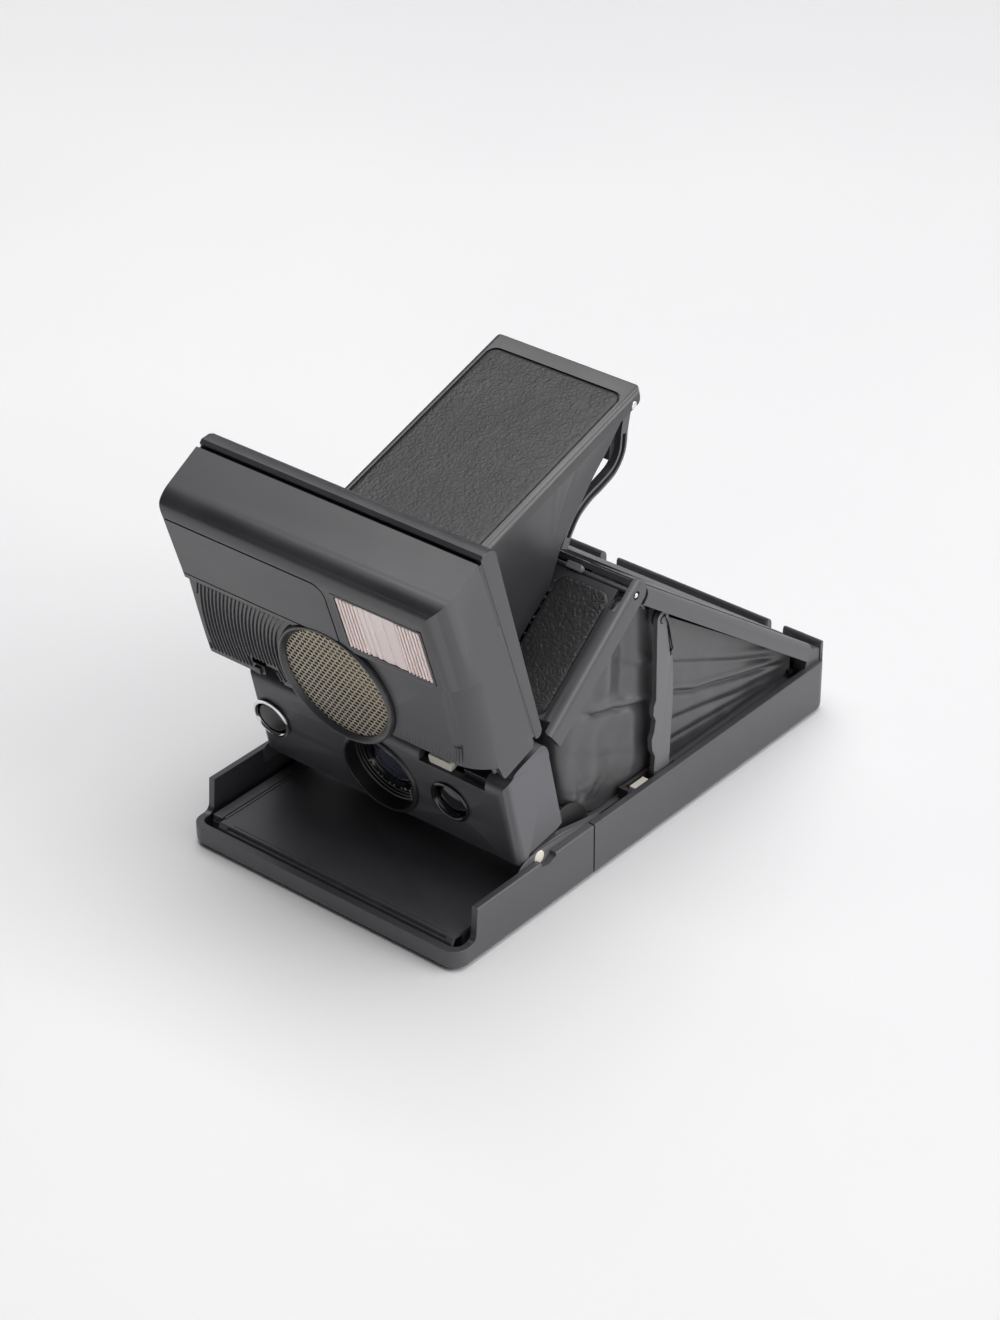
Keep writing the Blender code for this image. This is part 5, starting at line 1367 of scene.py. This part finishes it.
def rib(radius, start, end, n, height, taper=0.0):
    """Rib along an arc about the sonar, losing a share of its height by the end."""
    half, base = 0.36, -0.05
    rings = []
    for k in range(n + 1):
        angle = start + (end - start) * k / n
        tall = height * (1 - taper * (k / n))
        section = ((-half, base), (-half * 0.55, base + tall * 0.9), (0, base + tall),
                   (half * 0.55, base + tall * 0.9), (half, base))
        rings.append([HEAD.place(SONAR[0] + (radius + shift) * cos(angle),
                                 SONAR[1] + (radius + shift) * sin(angle), off)
                      for shift, off in section])
    return loft(rings)


def on_grille(x, along):
    """Inside the lower left panel and clear of the switch."""
    by_switch = -32.2 < x < -21.8 and along < 5.2
    return x > -47.6 + 0.03 * (along - 14) and along > 0.8 and not by_switch


def head_ribs():
    """Concentric ribs left of the sonar, and short tapering ribs low on the right."""
    bed = HEAD.box(-48.6, SONAR[0], SONAR[1] - 10.6, SONAR[1] + 16.4, -0.3, 0.09)
    cut(bed, HEAD.prism(circle(*SONAR, 21.9, 96), -9, 9),
        HEAD.box(-32.2, -21.6, -9, 5.4, -9, 9), left_trim(-60, 1.1, -9, 9))
    piece(bed, "grille_bed", "flash_head", "gloss")

    steps = 64
    ribs = []
    for k in range(22):
        radius = 22.5 + k * 1.36
        start = pi - asin(16.2 / radius)
        end = pi + asin(10.4 / radius)
        run = []
        for i in range(steps + 1):
            angle = start + (end - start) * i / steps
            inside = on_grille(SONAR[0] + radius * cos(angle), SONAR[1] + radius * sin(angle))
            if inside:
                run.append(angle)
            if (not inside or i == steps) and len(run) > 2:
                ribs.append(rib(radius, run[0], run[-1], len(run) - 1, height=0.62))
            if not inside:
                run = []
    piece(merge(ribs), "grille_ribs", "flash_head", "head", sharp=50,
          weighted=False)

    ribs = []
    count = 24
    for k in range(count):
        radius = 22.6 + k * 0.98
        start = -asin(10.6 / radius)
        end = -asin((6.2 - 2 * (k / count)) / radius)
        if SONAR[0] + radius * cos(start) <= 45:
            ribs.append(rib(radius, start, end, 8, height=0.34, taper=0.92))
    piece(merge(ribs), "lower_ribs", "flash_head", "head", sharp=50,
          weighted=False)


def sonar():
    """Rounded ring, domed grille of staggered holes and the foil behind it."""
    rim_profile = [(18.1, -1.9), (18.4, -7.5), (20.4, -7.5), (20.4, 0.6), (20.3, 1.3),
                   (20, 1.7), (19.5, 1.8), (19.1, 1.55), (18.8, 1.1), (18.4, 0.75),
                   (18.1, 0.3)]
    piece(HEAD.turn(SONAR, rim_profile, 112), "sonar_rim", "flash_head", "head",
          "sonar_ring")

    half_x, half_y = 1.95 / 2, 1.32 / 2        # half the hole pitch across and up
    hole_x, hole_y = 0.70, 0.42                # half the hole's width and height
    squareness = 0.6
    apart = 0.0007                             # keeps hole points from merging with cell rims
    # rim of one cell, in half pitches
    cell = [(1, 0), (1, 1), (0.5, 1), (0, 1), (-0.5, 1), (-1, 1), (-1, 0), (-1, -1),
            (-0.5, -1), (0, -1), (0.5, -1), (1, -1)]
    mesh = bmesh.new()
    cache = {}

    def vertex(x, along):
        key = (round(x, 4), round(along, 4))
        if key not in cache:
            spread = ((x - SONAR[0]) ** 2 + (along - SONAR[1]) ** 2) / 19.4 ** 2
            off = 0.15 + 0.55 * (1 - min(1.0, spread))
            cache[key] = mesh.verts.new(HEAD.place(x, along, off))
        return cache[key]

    def squared(value):
        return copysign(abs(value) ** squareness, value)

    for j in range(-15, 16):
        for i in range(-11, 12):
            x = SONAR[0] + (i + (0.5 if j % 2 else 0)) * 1.95
            along = SONAR[1] + j * 1.32
            if hypot(x - SONAR[0], along - SONAR[1]) > 18.6:
                continue
            rim = [vertex(x + u * half_x, along + v * half_y) for u, v in cell]
            hole = []
            for u, v in cell:
                angle = atan2(v, u)
                hole.append(vertex(x + hole_x * squared(cos(angle)) + apart,
                                   along + hole_y * squared(sin(angle)) + apart))
            for k in range(12):
                m = (k + 1) % 12
                mesh.faces.new((rim[k], rim[m], hole[m], hole[k]))
    piece(thickened(from_bmesh(mesh), 0.3), "sonar_mesh", "flash_head", "mesh",
          "sonar_grille", sharp=50, weighted=False)
    foil = [(0, -2.6), (18.3, -2.6), (18.3, -2.1), (14, -1.6), (8, -1.2), (0, -1)]
    piece(HEAD.turn(SONAR, foil, 72), "sonar_foil", "flash_head", "foil",
          sharp=60)


def head_back():
    back = side_prism([(12.7, 127), (13.6, 128), (16.6, 128.3), (18.4, 127.6), (19, 126.2),
                       (37.9, 62), (37.6, 60.6), (36.6, 59.9), (35.3, 60)],
                      -HEAD_HALF, HEAD_HALF)
    keep(back, head_limit(4.4, 67.9, 4.4))
    hollow = [(10, 126), (14.4, 126.2), (34.9, 62.4), (33, 62.4)]
    cut(back, side_prism(hollow, -HEAD_HALF + 2, HEAD_HALF - 2))
    arm_outline = [(34, 66.6), (35.6, 61), (42.6, 54.9), (45, 54.4), (47.3, 55.4), (47.9, 57.4),
                   (47, 59.8), (45, 60.5), (37.6, 65.2), (36.4, 69)]
    for side in SIDES:
        arm = side_prism(arm_outline, *span(side, 13.9, 17.2))
        cut(arm, rod(HEAD_HINGE, *span(side, 13, 18), 1.4))
        join(back, arm)
    piece(bevelled(tidy(back), 0.75, 4, 44), "head_back", "flash_head", "head",
          "head_rear_cover")
    # glossy lip that shows in the seam
    lip = side_prism([(12, 125.6), (15, 126.3), (35.6, 61.2), (32.6, 60.8)],
                     -HEAD_HALF + 0.15, HEAD_HALF - 0.15)
    keep(lip, head_limit(4.4, 67.5, 4.25))
    hollow = [(8, 122.6), (14, 122), (33.6, 64.2), (30, 64)]
    cut(lip, side_prism(hollow, -HEAD_HALF + 3, HEAD_HALF - 3))
    piece(lip, "head_seam_lip", "flash_head", "gloss")


def flash():
    """Black frame, ribbed lens and mirror trough."""
    x0, x1, low, high = WINDOW
    surround = BROW.box(x0 + 0.1, x1 - 0.1, low + 0.1, high - 0.1, -1.8, 0.12)
    cut(surround, BROW.box(x0 + 1.5, x1 - 0.8, low + 1.1, high - 0.8, -9, 9))
    piece(bevelled(surround, 0.15), "flash_frame", "flash_head", "gloss")

    x0, x1, low, high = x0 + 1.6, x1 - 0.9, low + 1.2, high - 0.9
    # ribs as (x, height): fine near both ends, coarse in the middle
    profile = []
    x = x0
    while x < x1 - 0.01:
        part = (x - x0) / (x1 - x0)
        fine = part < 0.25 or part > 0.66
        pitch = 1.25 if fine else (2.2 if part < 0.34 else 4.4)
        foot, height, flank = (0.0, 0.95, 0.16) if fine else (0.4, 0.75, 0.08)
        end = min(x + pitch, x1)
        profile += [(x, foot), (x + flank, height * 0.72), (x + (end - x) * 0.45, height),
                    (end - flank, height * 0.8)]
        x = end
    profile.append((x1, 0.0))
    mesh = bmesh.new()
    front, back = [], []
    for along in (low, high):
        front.append([mesh.verts.new(BROW.place(x, along, -0.75 + h)) for x, h in profile])
        back.append([mesh.verts.new(BROW.place(x, along, -1.35)) for x, _ in profile])
    last = len(profile) - 1
    for i in range(last):
        j = i + 1
        mesh.faces.new((front[0][i], front[0][j], front[1][j], front[1][i]))
        mesh.faces.new((back[0][j], back[0][i], back[1][i], back[1][j]))
        mesh.faces.new((front[0][j], front[0][i], back[0][i], back[0][j]))
        mesh.faces.new((front[1][i], front[1][j], back[1][j], back[1][i]))
    for i in (0, last):
        mesh.faces.new((front[0][i], front[1][i], back[1][i], back[0][i]))
    piece(from_bmesh(mesh), "flash_lens_panel", "flash_head", "flash",
          "flash_window", sharp=20, weighted=False)

    reflector = BROW.box(x0, x1, low, high, -9, -1.5)
    middle = (low + high) / 2
    angles = [radians(degree) for degree in range(8, 173, 12)]
    trough = [(low + 1, 0), (high - 1, 0)] + [
        (middle + 8.2 * cos(angle), -1.4 - 6.6 * sin(angle)) for angle in angles]
    cut(reflector, side_prism(BROW.outline(trough), x0 + 3.5, x1 - 3.5))
    piece(reflector, "flash_trough", "flash_head", "silver",
          "flash_reflector")


def focus_switch():
    switch = HEAD.box(-30.9, -26.4, 0.4, 3.9, -3.4, 0.6)
    join(switch, HEAD.box(-29.8, -27.5, 1, 3.3, 0.2, 1.5))
    piece(bevelled(switch, 0.2), "af_switch", "focus_switch", "black",
          "focus_switch")


for build in (tray, film_door, door_plate, chassis, rivets, links, latch, rear_cover,
              front_cover, shield_stakes, shield, eyepiece_arm, viewfinder_cap, strut, bellows,
              housing, lens, shutter_controls, head_shell, head_ribs, sonar, head_back, flash,
              focus_switch):
    build()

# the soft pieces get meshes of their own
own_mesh(bpy.data.objects["bellows_skin"])
for name in ("shield_wall_r", "shield_wall_l", "shield_front"):
    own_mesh(bpy.data.objects[name], "viewfinder_cap_fold", axis=tuple(FRONT.normal()),
              anchor=tuple(FRONT.place(0.0, 10.0, 3.9)), keep=0.06)


# ---- studio, in metres ----
def studio_floor():
    """Paper sweep: flat floor that curves up into a back wall."""
    half_width, bend_y, bend_radius, drop = 6.0, 1.6, 0.9, 0.0004
    profile = ([(-half_width, 0.0), (bend_y, 0.0)]
               + arc(bend_y, bend_radius, bend_radius, -80, 0, 8)
               + [(bend_y + bend_radius, 4.0)])
    mesh = bmesh.new()
    rows = [[mesh.verts.new((x, y, z - drop)) for x in (-half_width, half_width)]
            for y, z in profile]
    for row, following in zip(rows, rows[1:]):
        mesh.faces.new((row[0], row[1], following[1], following[0]))
    floor = from_bmesh(mesh)
    floor.name = "studio_floor"
    material, tree, shader = new_material("studio_paper")
    mottle = noise_tex(tree, coords(tree), scale=3.0, detail=3, rough=0.5)
    stops = [(0.3, (0.80, 0.80, 0.81)), (0.7, (0.84, 0.84, 0.845))]
    wire(tree, shader, {"Base Color": ramp(tree, mottle, stops), "Roughness": 0.75,
                        "Specular IOR Level": 0.2})
    floor.data.materials.append(material)
    floor.data.shade_smooth()


def surround_light():
    """Soft surround: pale above, to the right and behind, dark low down at the front left."""
    world = bpy.data.worlds.new("studio")
    bpy.context.scene.world = world
    world.use_nodes = True
    tree = world.node_tree
    where = add(tree, "TexCoord").outputs["Generated"]
    axes = add(tree, "SeparateXYZ", {0: where}).outputs
    sideways = calc(tree, "MULTIPLY_ADD", axes["X"], 0.45,
                    calc(tree, "MULTIPLY", axes["Y"], 0.80))
    level = calc(tree, "MULTIPLY_ADD", sideways, 1.0,
                 calc(tree, "MULTIPLY_ADD", axes["Z"], 0.45, 0.12))
    dark, grey, pale = (0.035, 0.035, 0.04), (0.62, 0.62, 0.63), (1.25, 1.24, 1.24)
    colour = ramp(tree, level, [(0.12, dark), (0.40, grey), (0.75, pale)])
    wire(tree, tree.nodes["Background"], {"Color": colour, "Strength": 1.06})


def area_light(name, location, target, width, height, power, colour):
    light = bpy.data.lights.new(name, "AREA")
    light.energy = power
    light.color = colour
    light.shape = "RECTANGLE"
    light.size = width
    light.size_y = height
    ob = bpy.data.objects.new(name, light)
    bpy.context.scene.collection.objects.link(ob)
    ob.location = location
    aim = Vector(target) - Vector(location)
    ob.rotation_euler = aim.to_track_quat("-Z", "Y").to_euler()


def camera():
    lens_data = bpy.data.cameras.new("camera")
    ob = bpy.data.objects.new("camera", lens_data)
    bpy.context.scene.collection.objects.link(ob)
    bpy.context.scene.camera = ob
    azimuth, elevation, roll = radians(39.87), radians(32.35), radians(-0.37)
    back = Vector((sin(azimuth) * cos(elevation), -cos(azimuth) * cos(elevation),
                   sin(elevation)))
    right = (-back).cross(Vector((0, 0, 1))).normalized()
    up = right.cross(-back)
    rolled_right = cos(roll) * right + sin(roll) * up
    rolled_up = -sin(roll) * right + cos(roll) * up
    pose = Matrix((rolled_right, rolled_up, back)).transposed().to_4x4()
    pose.translation = Vector((0.5516, -0.66815, 0.5883))
    ob.matrix_world = pose
    lens_data.sensor_width = 36.0
    lens_data.lens = 95.1136364
    lens_data.clip_start = 0.01


studio_floor()
surround_light()
area_light("soft_right", location=(1.5, 0.75, 0.75), target=(0.0, 0.0, 0.05), width=1.6,
           height=1.1, power=16, colour=(1.0, 0.985, 0.985))
area_light("soft_top", location=(-0.25, 0.12, 1.3), target=(-0.25, 0.12, 0.0), width=1.5,
           height=1.1, power=11.5, colour=(1.0, 1.0, 1.0))
camera()
bpy.context.scene.view_settings.view_transform = "Standard"
bpy.context.scene.view_settings.look = "None"

bpy.context.view_layer.update()
